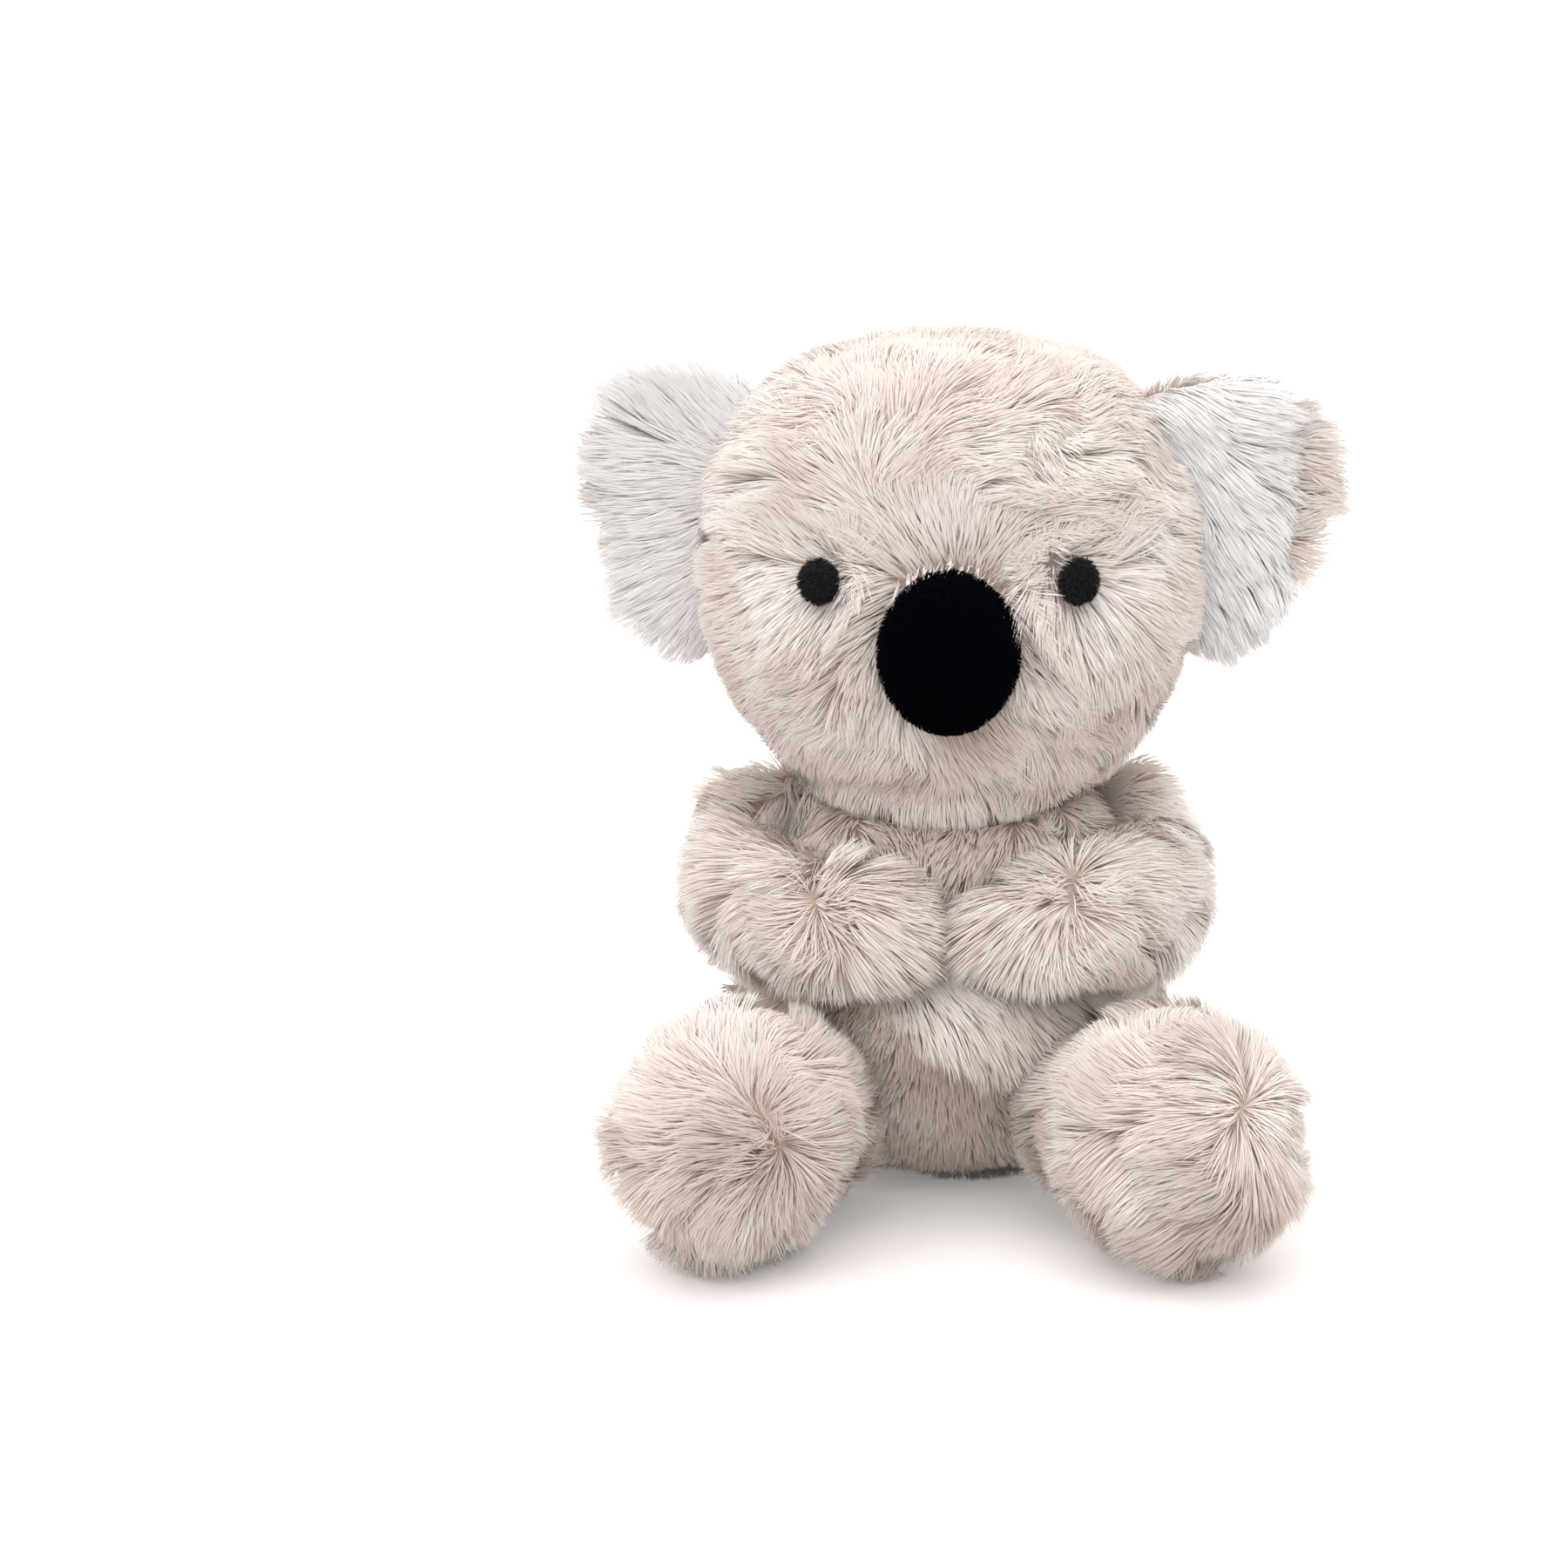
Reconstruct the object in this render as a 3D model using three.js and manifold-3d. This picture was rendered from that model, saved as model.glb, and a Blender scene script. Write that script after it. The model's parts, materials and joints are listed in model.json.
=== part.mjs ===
// A seated plush koala, a soft squeaky toy for a dog, in millimetres.
// +Z is up, the toy looks along -Y, its own left side is at +X, and its seat rests on z = 0.
import * as THREE from 'three';
import { mergeVertices } from 'three/addons/utils/BufferGeometryUtils.js';
import Module from 'manifold-3d';

const wasm = await Module();
wasm.setup();

// Clearances and overruns shared by all the sewn pieces
const sewnGap = 0.3;
const seatCut = 0.5;
const cutOverrun = 60;

// How finely the forms are faceted
const facets = {
  bodyRings: 16,
  bodySides: 26,
  limbRings: 13,
  limbSides: 16,
  trimRings: 8,
  trimSides: 20,
  turnedSides: 20,
  hollowDetail: 6,
};

// Torso, a pear that is fullest low down in front, with its long-pile cover and its fibre filling
const torso = { halfWidth: 48, halfHeight: 52, front: 37, back: 38, pile: 8 };
const torsoShares = {
  lowSquareShare: 0.68,
  highSquareShare: 0.9,
  taperShare: 0.23,
  swellShare: 0.1,
  swellHeightShare: -0.25,
  swellSpreadShare: 0.5,
};

// Head, a broad ball with a flat crown and a low soft muzzle
const head = {
  halfWidth: 55,
  halfHeight: 52.5,
  front: 45,
  back: 46,
  pile: 8,
  forward: 6,
  neckSink: 17,
  neckOpening: 15,
  neckClearance: 0.5,
};
const headShares = {
  lowSquareShare: 0.85,
  highSquareShare: 0.45,
  taperShare: 0.03,
  swellShare: 0.08,
  swellHeightShare: -0.2,
  swellSpreadShare: 0.45,
};
const neckRimShare = 0.88;

// Roundness of the flat forms, whose edges are full and whose faces are nearly flat
const flatShares = {
  lowSquareShare: 0.6,
  highSquareShare: 0.6,
  taperShare: 0,
  swellShare: 0,
  swellHeightShare: 0,
  swellSpreadShare: 1,
};

// Nose, a padded oval of short velour on the front of the head
const nose = { halfWidth: 14.6, halfTall: 17, thick: 8.5, sink: 2.4, below: 8, cloth: 1.4 };

// Eyes, small domed felt discs
const eye = { halfWidth: 4.1, halfTall: 4.7, thick: 2.6, sink: 0.8, apart: 56, above: 8 };

// Ears, each a round flap of two panels sewn back to back
const ear = { halfWidth: 25, halfTall: 34, halfThick: 7, reach: 4, above: 12, forward: 3 };
const earLean = THREE.MathUtils.degToRad(14);
const earToe = THREE.MathUtils.degToRad(8);

// Arms, which start at the shoulders and fold round to the front of the chest
const arm = { pile: 5, standOff: 12.5, halfThick: 13, halfTall: 20 };
const armAngleShares = [-0.15, 0.14, 0.47, 0.78, 0.97];
const armStandOffShares = [0.24, 0.4, 0.75, 1, 0.8];
const armThickShares = [0.85, 0.9, 0.96, 1, 0.96];
const armTallShares = [0.85, 0.92, 0.88, 0.8, 0.7];
const armRiseShares = [0.81, 0.69, 0.67, 0.67, 0.665];
const armCapShares = { start: 0.17, end: 0.26 };

// Legs, which lie on the floor, splay outwards and end in large round feet
const leg = { pile: 7, length: 79, rootDepth: 11, halfWide: 28, halfTall: 31 };
const legWideShares = [0.61, 0.79, 0.95, 1, 0.965];
const legTallShares = [0.645, 0.79, 0.95, 1, 0.968];
const legRiseShares = [0.887, 0.871, 0.958, 1, 1];
const legRootAngle = THREE.MathUtils.degToRad(52);
const legSplay = THREE.MathUtils.degToRad(27);
const legRootHeightShare = 0.27;
const legCapShares = { start: 0.25, end: 0.37 };

// Squeaker, a round moulded bellows with a whistle reed, in a pocket that opens to the back
const squeaker = {
  radius: 19,
  wall: 1.2,
  baseHeight: 7,
  bellowsHeight: 8,
  bellowsWall: 1,
  bellowsFold: 3,
  capHeight: 5,
  reedRadius: 4,
  reedWall: 1,
  reedLength: 9,
  reedLip: 1.2,
  pocketClearance: 0.5,
};
const squeakerRiseShare = 0.31;
const bellowsTurns = 2;

// Colours and finishes of the materials
const finishes = {
  creamPlush: { color: 0xd9ccc5, roughness: 0.95, metalness: 0 },
  whitePlush: { color: 0xe2dddd, roughness: 0.95, metalness: 0 },
  blackVelour: { color: 0x07070d, roughness: 0.8, metalness: 0 },
  charcoalFelt: { color: 0x1d1d1d, roughness: 0.95, metalness: 0 },
  fibreFill: { color: 0xf2f1ee, roughness: 1, metalness: 0 },
  squeakerPlastic: { color: 0xe8e8e4, roughness: 0.45, metalness: 0 },
  reedPlastic: { color: 0xb9c4cc, roughness: 0.35, metalness: 0 },
};

const up = new THREE.Vector3(0, 0, 1);

/** Joins rings of points, counter-clockwise about the way, into one closed mesh with pointed ends. */
function closedSkin(rings, startPoint, endPoint) {
  const sides = rings[0].length;
  const points = [startPoint, ...rings.flat(), endPoint];
  const last = points.length - 1;
  const index = [];
  const at = (ring, side) => 1 + ring * sides + (side % sides);
  for (let side = 0; side < sides; side++) {
    index.push(0, at(0, side + 1), at(0, side));
    index.push(last, at(rings.length - 1, side), at(rings.length - 1, side + 1));
    for (let ring = 0; ring < rings.length - 1; ring++) {
      index.push(at(ring, side), at(ring, side + 1), at(ring + 1, side + 1));
      index.push(at(ring, side), at(ring + 1, side + 1), at(ring + 1, side));
    }
  }
  const geometry = new THREE.BufferGeometry().setFromPoints(points);
  geometry.setIndex(index);
  return geometry;
}

/** Half breadth of a plump form at a height share from -1 to 1, as a share of its half width. */
function breadthShare(shares, heightShare) {
  const square = heightShare < 0 ? shares.lowSquareShare : shares.highSquareShare;
  const round = Math.sqrt(Math.max(0, 1 - heightShare * heightShare));
  return Math.pow(round, square) * (1 - shares.taperShare * heightShare);
}

/** One point of a plump form's skin, about its own centre. The angle runs from +X towards +Y. */
function plumpPoint(size, shares, heightShare, angle, grow = 0) {
  const breadth = breadthShare(shares, heightShare);
  const offset = (heightShare - shares.swellHeightShare) / shares.swellSpreadShare;
  const towardsFront = Math.max(0, -Math.sin(angle));
  const swell = 1 + shares.swellShare * Math.exp(-offset * offset) * towardsFront * towardsFront;
  const depth = Math.sin(angle) < 0 ? size.front : size.back;
  return new THREE.Vector3(
    (size.halfWidth + grow) * breadth * Math.cos(angle),
    (depth + grow) * breadth * swell * Math.sin(angle),
    (size.halfHeight + grow) * heightShare,
  );
}

/** A closed form that swells and tapers between a low and a high pole, larger on every side by grow. */
function plumpForm(size, shares, grow, ringCount, sideCount) {
  const rings = [];
  for (let ring = 1; ring < ringCount; ring++) {
    const heightShare = -Math.cos((Math.PI * ring) / ringCount);
    const points = [];
    for (let side = 0; side < sideCount; side++) {
      points.push(plumpPoint(size, shares, heightShare, (2 * Math.PI * side) / sideCount, grow));
    }
    rings.push(points);
  }
  const pole = (share) => new THREE.Vector3(0, 0, (size.halfHeight + grow) * share);
  return closedSkin(rings, pole(-1), pole(1));
}

/** Value between the entries of an evenly spaced list, along a smooth curve. */
function smoothValue(list, share) {
  const curve = new THREE.SplineCurve(list.map((value, i) => new THREE.Vector2(i, value)));
  return curve.getPoint(Math.min(1, Math.max(0, share))).y;
}

/** Rounding of a limb's ends: 0 at the very end, 1 past the cap. */
function endRounding(share, caps) {
  const start = Math.min(1, share / caps.start);
  const end = Math.min(1, (1 - share) / caps.end);
  return Math.sqrt(1 - (1 - start) ** 2) * Math.sqrt(1 - (1 - end) ** 2);
}

/** A closed limb that swells and tapers along a curve through the centres, larger on every side by grow. */
function limbForm(limb, grow, ringCount, sideCount) {
  const curve = new THREE.CatmullRomCurve3(limb.centres, false, 'centripetal');
  const length = curve.getLength();
  const rings = [];
  const centreAt = (share) => {
    const inside = Math.min(1, Math.max(0, share));
    const tangent = curve.getTangentAt(inside);
    return curve.getPointAt(inside).addScaledVector(tangent, (share - inside) * length);
  };
  const stretched = (share) => share + (2 * share - 1) * (grow / length);
  for (let ring = 1; ring < ringCount; ring++) {
    const share = (1 - Math.cos((Math.PI * ring) / ringCount)) / 2;
    const place = stretched(share);
    const tangent = curve.getTangentAt(Math.min(1, Math.max(0, place)));
    const tall = up.clone().addScaledVector(tangent, -up.dot(tangent)).normalize();
    const wide = tall.clone().cross(tangent);
    const rounding = endRounding(share, limb.caps);
    const halfWide = (smoothValue(limb.halfWide, place) + grow) * rounding;
    const halfTall = (smoothValue(limb.halfTall, place) + grow) * rounding;
    const points = [];
    for (let side = 0; side < sideCount; side++) {
      const angle = (2 * Math.PI * side) / sideCount;
      const point = centreAt(place);
      point.addScaledVector(wide, halfWide * Math.cos(angle));
      point.addScaledVector(tall, halfTall * Math.sin(angle));
      points.push(point);
    }
    rings.push(points);
  }
  return closedSkin(rings, centreAt(stretched(0)), centreAt(stretched(1)));
}

/** A solid for cutting and joining, from a closed geometry. */
function solidOf(geometry) {
  const bare = geometry.clone();
  bare.deleteAttribute('normal');
  bare.deleteAttribute('uv');
  const merged = mergeVertices(bare);
  const mesh = new wasm.Mesh({
    numProp: 3,
    vertProperties: new Float32Array(merged.attributes.position.array),
    triVerts: new Uint32Array(merged.index.array),
  });
  return new wasm.Manifold(mesh);
}

/** The geometry of a finished solid. */
function geometryOf(solid) {
  const mesh = solid.getMesh();
  const geometry = new THREE.BufferGeometry();
  geometry.setAttribute('position', new THREE.BufferAttribute(new Float32Array(mesh.vertProperties), 3));
  geometry.setIndex(new THREE.BufferAttribute(new Uint32Array(mesh.triVerts), 1));
  geometry.computeVertexNormals();
  return geometry;
}

/** A named mesh with a material of its own. */
function piece(name, solid, finish) {
  const material = new THREE.MeshStandardMaterial(finish);
  const mesh = new THREE.Mesh(geometryOf(solid), material);
  mesh.name = name;
  return mesh;
}

/** A turned solid from a closed outline of [radius, height] pairs. */
function turned(outline) {
  const points = outline.map(([radius, height]) => new THREE.Vector2(radius, height));
  points.push(points[0].clone());
  const lathe = new THREE.LatheGeometry(points, facets.turnedSides);
  lathe.rotateX(Math.PI / 2);
  return solidOf(lathe);
}

/** A plain round bar about Z, from one height to another. */
function bar(radius, low, high) {
  const cylinder = new THREE.CylinderGeometry(radius, radius, high - low, facets.turnedSides);
  cylinder.rotateX(Math.PI / 2);
  cylinder.translate(0, 0, (low + high) / 2);
  return solidOf(cylinder);
}

// Torso
const torsoCentreHeight = torso.halfHeight - seatCut;
const torsoTop = torsoCentreHeight + torso.halfHeight;

function torsoForm(grow, rings = facets.bodyRings, sides = facets.bodySides) {
  return solidOf(plumpForm(torso, torsoShares, grow, rings, sides)).translate([0, 0, torsoCentreHeight]);
}

/** Point of the torso's skin at a height above the floor, the angle running from +X towards the front. */
function torsoSkin(height, angle) {
  const heightShare = (height - torsoCentreHeight) / torso.halfHeight;
  const point = plumpPoint(torso, torsoShares, heightShare, -angle);
  return point.setZ(height);
}

/** Level direction that points straight out of the torso's skin. */
function torsoOutward(angle) {
  return new THREE.Vector3(Math.cos(angle) / torso.halfWidth, -Math.sin(angle) / torso.front, 0).normalize();
}

// Head, whose lower part swings inside a round hollow in the top of the torso
const headCentre = new THREE.Vector3(0, -head.forward, torsoTop + head.halfHeight - head.neckSink);

function headForm(grow, rings = facets.bodyRings, sides = facets.bodySides) {
  return solidOf(plumpForm(head, headShares, grow, rings, sides)).translate(headCentre.toArray());
}

/** Distance from the head's centre to the farthest skin of the part that sits in the neck, below the rim. */
function neckReach() {
  const side = plumpPoint(head, headShares, -neckRimShare, 0);
  return Math.max(head.halfHeight, side.length());
}

const neckBall = new THREE.IcosahedronGeometry(neckReach() + head.neckClearance, facets.hollowDetail);
const neckHollow = solidOf(neckBall).translate(headCentre.toArray());
const floorSlab = new THREE.BoxGeometry(cutOverrun * 8, cutOverrun * 8, cutOverrun);
const floorCut = solidOf(floorSlab).translate([0, 0, -cutOverrun / 2]);

/** A round way down from the head's centre through the neck. */
function neckWay(radius) {
  const low = headCentre.z - head.halfHeight - cutOverrun;
  return bar(radius, low, headCentre.z).translate([headCentre.x, headCentre.y, 0]);
}

// Nose and eyes, which sit on the skin of the head
const sideways = new THREE.Matrix4().makeRotationX(Math.PI / 2);

/** Places a small form with its low pole towards the head's centre, square to the skin, sunk by a depth. */
function onHead(across, above, depth, level) {
  const heightShare = above / head.halfHeight;
  const widthShare = across / (head.halfWidth * breadthShare(headShares, heightShare));
  const angle = -Math.acos(widthShare);
  const point = plumpPoint(head, headShares, heightShare, angle);
  const outward = new THREE.Vector3(
    point.x / head.halfWidth ** 2,
    point.y / head.front ** 2,
    level ? 0 : point.z / head.halfHeight ** 2,
  ).normalize();
  const place = new THREE.Matrix4().lookAt(outward, new THREE.Vector3(), up);
  place.setPosition(point.addScaledVector(outward, -depth).add(headCentre));
  return place;
}

function faceForm(size, shares, grow, place) {
  const { halfWidth, halfTall, thick } = size;
  const form = { halfWidth, front: halfTall, back: halfTall, halfHeight: thick };
  const geometry = plumpForm(form, shares, grow, facets.trimRings, facets.trimSides);
  return solidOf(geometry).transform(place.elements);
}

function nosePieces(headGrown) {
  const place = onHead(0, -nose.below, nose.sink, true);
  const skin = faceForm(nose, flatShares, 0, place).subtract(headGrown);
  const hollow = faceForm(nose, flatShares, -nose.cloth, place);
  const padding = faceForm(nose, flatShares, -nose.cloth - sewnGap, place).subtract(headGrown);
  return [
    piece('nose_cover', skin.subtract(hollow), finishes.blackVelour),
    piece('nose_padding', padding, finishes.fibreFill),
  ];
}

function eyePiece(name, side, headGrown) {
  const place = onHead((side * eye.apart) / 2, eye.above, eye.sink, false);
  return piece(name, faceForm(eye, flatShares, 0, place).subtract(headGrown), finishes.charcoalFelt);
}

// Ears
function earPanels(label, side, headGrown) {
  const { halfWidth, halfTall, halfThick } = ear;
  const form = { halfWidth, front: halfTall, back: halfTall, halfHeight: halfThick };
  const flap = solidOf(plumpForm(form, flatShares, 0, facets.trimRings, facets.trimSides));
  const place = new THREE.Matrix4().makeRotationY(side * earLean);
  place.multiply(new THREE.Matrix4().makeRotationZ(side * earToe)).multiply(sideways);
  place.setPosition(
    side * (head.halfWidth + ear.reach),
    -ear.forward,
    headCentre.z + ear.above,
  );
  const slab = solidOf(new THREE.BoxGeometry(cutOverrun * 2, cutOverrun * 2, cutOverrun));
  const frontHalf = flap.subtract(slab.translate([0, 0, (sewnGap - cutOverrun) / 2]));
  const backHalf = flap.subtract(slab.translate([0, 0, (cutOverrun - sewnGap) / 2]));
  const front = frontHalf.transform(place.elements).subtract(headGrown);
  const back = backHalf.transform(place.elements).subtract(headGrown);
  return [
    piece(`${label}_front_panel`, front, finishes.whitePlush),
    piece(`${label}_back_panel`, back, finishes.creamPlush),
  ];
}

// Arms
function armLimb(side) {
  const centres = armAngleShares.map((angleShare, i) => {
    const angle = (angleShare * Math.PI) / 2;
    const centre = torsoSkin(torsoTop * armRiseShares[i], angle);
    centre.addScaledVector(torsoOutward(angle), arm.standOff * armStandOffShares[i]);
    centre.x *= side;
    return centre;
  });
  return {
    centres,
    halfWide: armThickShares.map((share) => arm.halfThick * share),
    halfTall: armTallShares.map((share) => arm.halfTall * share),
    caps: armCapShares,
  };
}

// Legs
function legLimb(side) {
  const along = new THREE.Vector3(side * Math.sin(legSplay), -Math.cos(legSplay), 0);
  const root = torsoSkin(torsoTop * legRootHeightShare, legRootAngle);
  root.x *= side;
  root.addScaledVector(along, -leg.rootDepth);
  const centres = legRiseShares.map((share, i) => {
    const centre = root.clone().addScaledVector(along, (leg.length * i) / (legRiseShares.length - 1));
    return centre.setZ(leg.halfTall * share - seatCut);
  });
  return {
    centres,
    halfWide: legWideShares.map((share) => leg.halfWide * share),
    halfTall: legTallShares.map((share) => leg.halfTall * share),
    caps: legCapShares,
  };
}

/** A limb's plush cover, open where it is sewn to the torso, and the filling in it. */
function limbPieces(label, limb, pile, cutters) {
  const trimmed = (solid) => cutters.reduce((left, cutter) => left.subtract(cutter), solid);
  const form = (grow) => solidOf(limbForm(limb, grow, facets.limbRings, facets.limbSides));
  const cover = trimmed(form(0)).subtract(form(-pile));
  const filling = trimmed(form(-pile - sewnGap));
  return [
    piece(`${label}_cover`, cover, finishes.creamPlush),
    piece(`${label}_filling`, filling, finishes.fibreFill),
  ];
}

// Squeaker, about its own axis, from its base upwards
const squeakerRise = torsoTop * squeakerRiseShare;
const squeakerHeight = squeaker.baseHeight + squeaker.bellowsHeight + squeaker.capHeight + 2 * sewnGap;

function squeakerBase() {
  const { radius, wall, baseHeight, reedRadius } = squeaker;
  const bore = reedRadius + sewnGap;
  return turned([
    [bore, 0],
    [radius - wall, 0],
    [radius, wall],
    [radius, baseHeight],
    [radius - wall, baseHeight],
    [radius - wall, 2 * wall],
    [radius - 2 * wall, wall],
    [bore, wall],
  ]);
}

function squeakerReed() {
  const { reedRadius, reedWall, reedLength, reedLip, wall } = squeaker;
  const lipLow = wall + sewnGap;
  return turned([
    [reedRadius - reedWall, 0],
    [reedRadius, 0],
    [reedRadius, lipLow],
    [reedRadius + reedLip, lipLow],
    [reedRadius + reedLip, lipLow + reedLip],
    [reedRadius, lipLow + reedLip],
    [reedRadius, reedLength],
    [reedRadius - reedWall, reedLength],
  ]);
}

function squeakerBellows() {
  const { radius, bellowsHeight, bellowsWall, bellowsFold } = squeaker;
  const low = squeaker.baseHeight + sewnGap;
  const folds = Array.from({ length: 2 * bellowsTurns + 1 }, (_, i) => i);
  const step = bellowsHeight / (2 * bellowsTurns);
  const outer = folds.map((i) => [radius - (i % 2) * bellowsFold, low + step * i]);
  const inner = outer.map(([r, height]) => [r - bellowsWall, height]).reverse();
  return turned([...outer, ...inner]);
}

function squeakerCap() {
  const { radius, wall, capHeight } = squeaker;
  const low = squeaker.baseHeight + squeaker.bellowsHeight + 2 * sewnGap;
  return turned([
    [0, low + capHeight - wall],
    [radius - 2 * wall, low + capHeight - wall],
    [radius - wall, low],
    [radius, low],
    [radius, low + capHeight - wall],
    [radius - wall, low + capHeight],
    [0, low + capHeight],
  ]);
}

/** The room in the torso's filling for the squeaker, open to the back. */
function squeakerPocket() {
  const { radius, pocketClearance } = squeaker;
  const low = squeakerRise - pocketClearance;
  const high = squeakerRise + squeakerHeight + pocketClearance;
  const room = radius + pocketClearance;
  const way = new THREE.BoxGeometry(2 * room, torso.back + cutOverrun, high - low);
  way.translate(0, (torso.back + cutOverrun) / 2, (low + high) / 2);
  return bar(room, low, high).add(solidOf(way));
}

// Assembly
const group = new THREE.Group();

const torsoGrown = torsoForm(sewnGap);
const torsoOutside = torsoForm(0).subtract(floorCut).subtract(neckHollow);
const torsoHollow = torsoForm(-torso.pile, facets.limbRings, facets.limbSides);
group.add(piece('torso_cover', torsoOutside.subtract(torsoHollow), finishes.creamPlush));

const torsoCore = torsoForm(-torso.pile - sewnGap, facets.limbRings, facets.limbSides);
const torsoFilling = torsoCore.subtract(neckHollow).subtract(squeakerPocket());
group.add(piece('torso_filling', torsoFilling, finishes.fibreFill));

const headOutside = headForm(0);
const headHollow = headForm(-head.pile, facets.limbRings, facets.limbSides).add(neckWay(head.neckOpening));
group.add(piece('head_cover', headOutside.subtract(headHollow), finishes.creamPlush));

const neckPlug = neckWay(head.neckOpening - sewnGap).intersect(headOutside);
const headCore = headForm(-head.pile - sewnGap, facets.limbRings, facets.limbSides);
group.add(piece('head_filling', headCore.add(neckPlug), finishes.fibreFill));

const headGrown = headForm(sewnGap);
group.add(...nosePieces(headGrown));
for (const [sideName, side] of [['left', 1], ['right', -1]]) {
  group.add(eyePiece(`eye_${sideName}`, side, headGrown));
  group.add(...earPanels(`ear_${sideName}`, side, headGrown));
  group.add(...limbPieces(`arm_${sideName}`, armLimb(side), arm.pile, [torsoGrown, neckHollow]));
  group.add(...limbPieces(`leg_${sideName}`, legLimb(side), leg.pile, [torsoGrown, floorCut]));
}

const squeakerUnit = new THREE.Group();
squeakerUnit.position.set(0, 0, squeakerRise);
squeakerUnit.add(piece('squeaker_base', squeakerBase(), finishes.squeakerPlastic));
squeakerUnit.add(piece('squeaker_reed', squeakerReed(), finishes.reedPlastic));
squeakerUnit.add(piece('squeaker_bellows', squeakerBellows(), finishes.squeakerPlastic));
squeakerUnit.add(piece('squeaker_cap', squeakerCap(), finishes.squeakerPlastic));
group.add(squeakerUnit);

export default group;
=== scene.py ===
"""A seated plush koala, a soft squeaky toy for a dog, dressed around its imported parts.

Each furry cover is made again as a knitted backing with a pile of separate fibres set in it.
Sizes are in millimetres until a mesh is made, where one scale turns them into metres.
+Z is up, the toy looks along -Y, its own left side is at +X, and its seat rests on z = 0.
"""

import json
import logging
import math
from collections.abc import Callable, Sequence
from dataclasses import dataclass, field, replace
from enum import Enum

import bmesh
import bpy
import numpy as np
from mathutils import Matrix, Vector
from mathutils.bvhtree import BVHTree
from mathutils.kdtree import KDTree

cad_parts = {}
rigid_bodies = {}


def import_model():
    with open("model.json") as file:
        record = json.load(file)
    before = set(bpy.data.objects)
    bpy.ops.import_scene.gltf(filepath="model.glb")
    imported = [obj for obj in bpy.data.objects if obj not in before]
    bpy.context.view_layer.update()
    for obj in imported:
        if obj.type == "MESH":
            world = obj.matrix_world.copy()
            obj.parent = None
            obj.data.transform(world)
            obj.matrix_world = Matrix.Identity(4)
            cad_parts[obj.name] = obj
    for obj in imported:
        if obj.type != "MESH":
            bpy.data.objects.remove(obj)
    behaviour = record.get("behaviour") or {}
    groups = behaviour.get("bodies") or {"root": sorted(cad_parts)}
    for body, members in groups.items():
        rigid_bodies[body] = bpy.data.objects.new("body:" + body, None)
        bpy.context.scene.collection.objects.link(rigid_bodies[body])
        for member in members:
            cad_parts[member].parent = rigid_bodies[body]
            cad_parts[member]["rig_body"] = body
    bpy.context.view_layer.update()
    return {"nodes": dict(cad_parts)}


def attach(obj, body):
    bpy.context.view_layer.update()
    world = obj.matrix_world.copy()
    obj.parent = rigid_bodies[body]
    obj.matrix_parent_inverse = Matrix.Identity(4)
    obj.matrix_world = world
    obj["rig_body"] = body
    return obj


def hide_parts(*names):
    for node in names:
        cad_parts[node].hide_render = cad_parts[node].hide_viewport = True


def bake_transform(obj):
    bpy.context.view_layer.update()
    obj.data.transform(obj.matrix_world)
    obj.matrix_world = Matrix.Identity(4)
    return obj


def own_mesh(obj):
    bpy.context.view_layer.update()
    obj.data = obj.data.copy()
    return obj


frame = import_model()

Array = np.ndarray
Piece = bpy.types.Object
Material = bpy.types.Material
METRES = 0.001
BAKE_MAP = "OFBake"
UP = np.array([0.0, 0.0, 1.0])
TINY = 1e-9
log = logging.getLogger("plush")

# How far the camera looks down, and how far the head turns to either side, in degrees
LOOK_DOWN = 16.0
HEAD_TURN = 30.0

# How far the wads of the limbs are sunk, in millimetres, so that they clear their covers
WAD_SHRINK = {"arm": 1.2, "leg": 3.0}


class Side(Enum):
    """The toy's own two sides, as the sign of X."""

    LEFT = 1
    RIGHT = -1

    @property
    def label(self) -> str:
        """The side's name in the names of pieces."""
        return self.name.lower()


class Slot(Enum):
    """The record's material slots."""

    CREAM = "cream_plush"
    WHITE = "white_plush"
    VELOUR = "black_velour"
    FELT = "charcoal_felt"
    FILL = "fibre_fill"
    PLASTIC = "squeaker_plastic"
    REED = "reed_plastic"


# Small sums on arrays of points


def unit(vectors: Array) -> Array:
    """Each vector at length one.

    Args:
        vectors: Rows of three numbers.

    Returns:
        The rows, each divided by its length.
    """
    length = np.linalg.norm(vectors, axis=-1, keepdims=True)
    return vectors / np.maximum(length, TINY)


def fade(values: Array, start: float, full: float) -> Array:
    """Shares that grow evenly from 0 at a start to 1 at the full value, and stay there."""
    return np.clip((values - start) / (full - start), 0, 1)


def facing_up(normals: Array) -> Array:
    """Shares from 0, where a surface faces 20 degrees over level, to 1, where it faces up."""
    return fade(normals[:, 2], 0.35, 0.975)


def facing_back(normals: Array) -> Array:
    """Shares from 0 at the toy's sides to 1 where it faces 30 degrees or more to the back."""
    return fade(normals[:, 1], 0, 0.5)


def along_skin(vectors: Array, normals: Array) -> Array:
    """Directions laid flat on a surface.

    Args:
        vectors: The wanted direction at each point.
        normals: The surface's outward direction there.

    Returns:
        Unit directions square to the normals.
    """
    level = vectors - (vectors * normals).sum(1, keepdims=True) * normals
    return unit(level)


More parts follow.
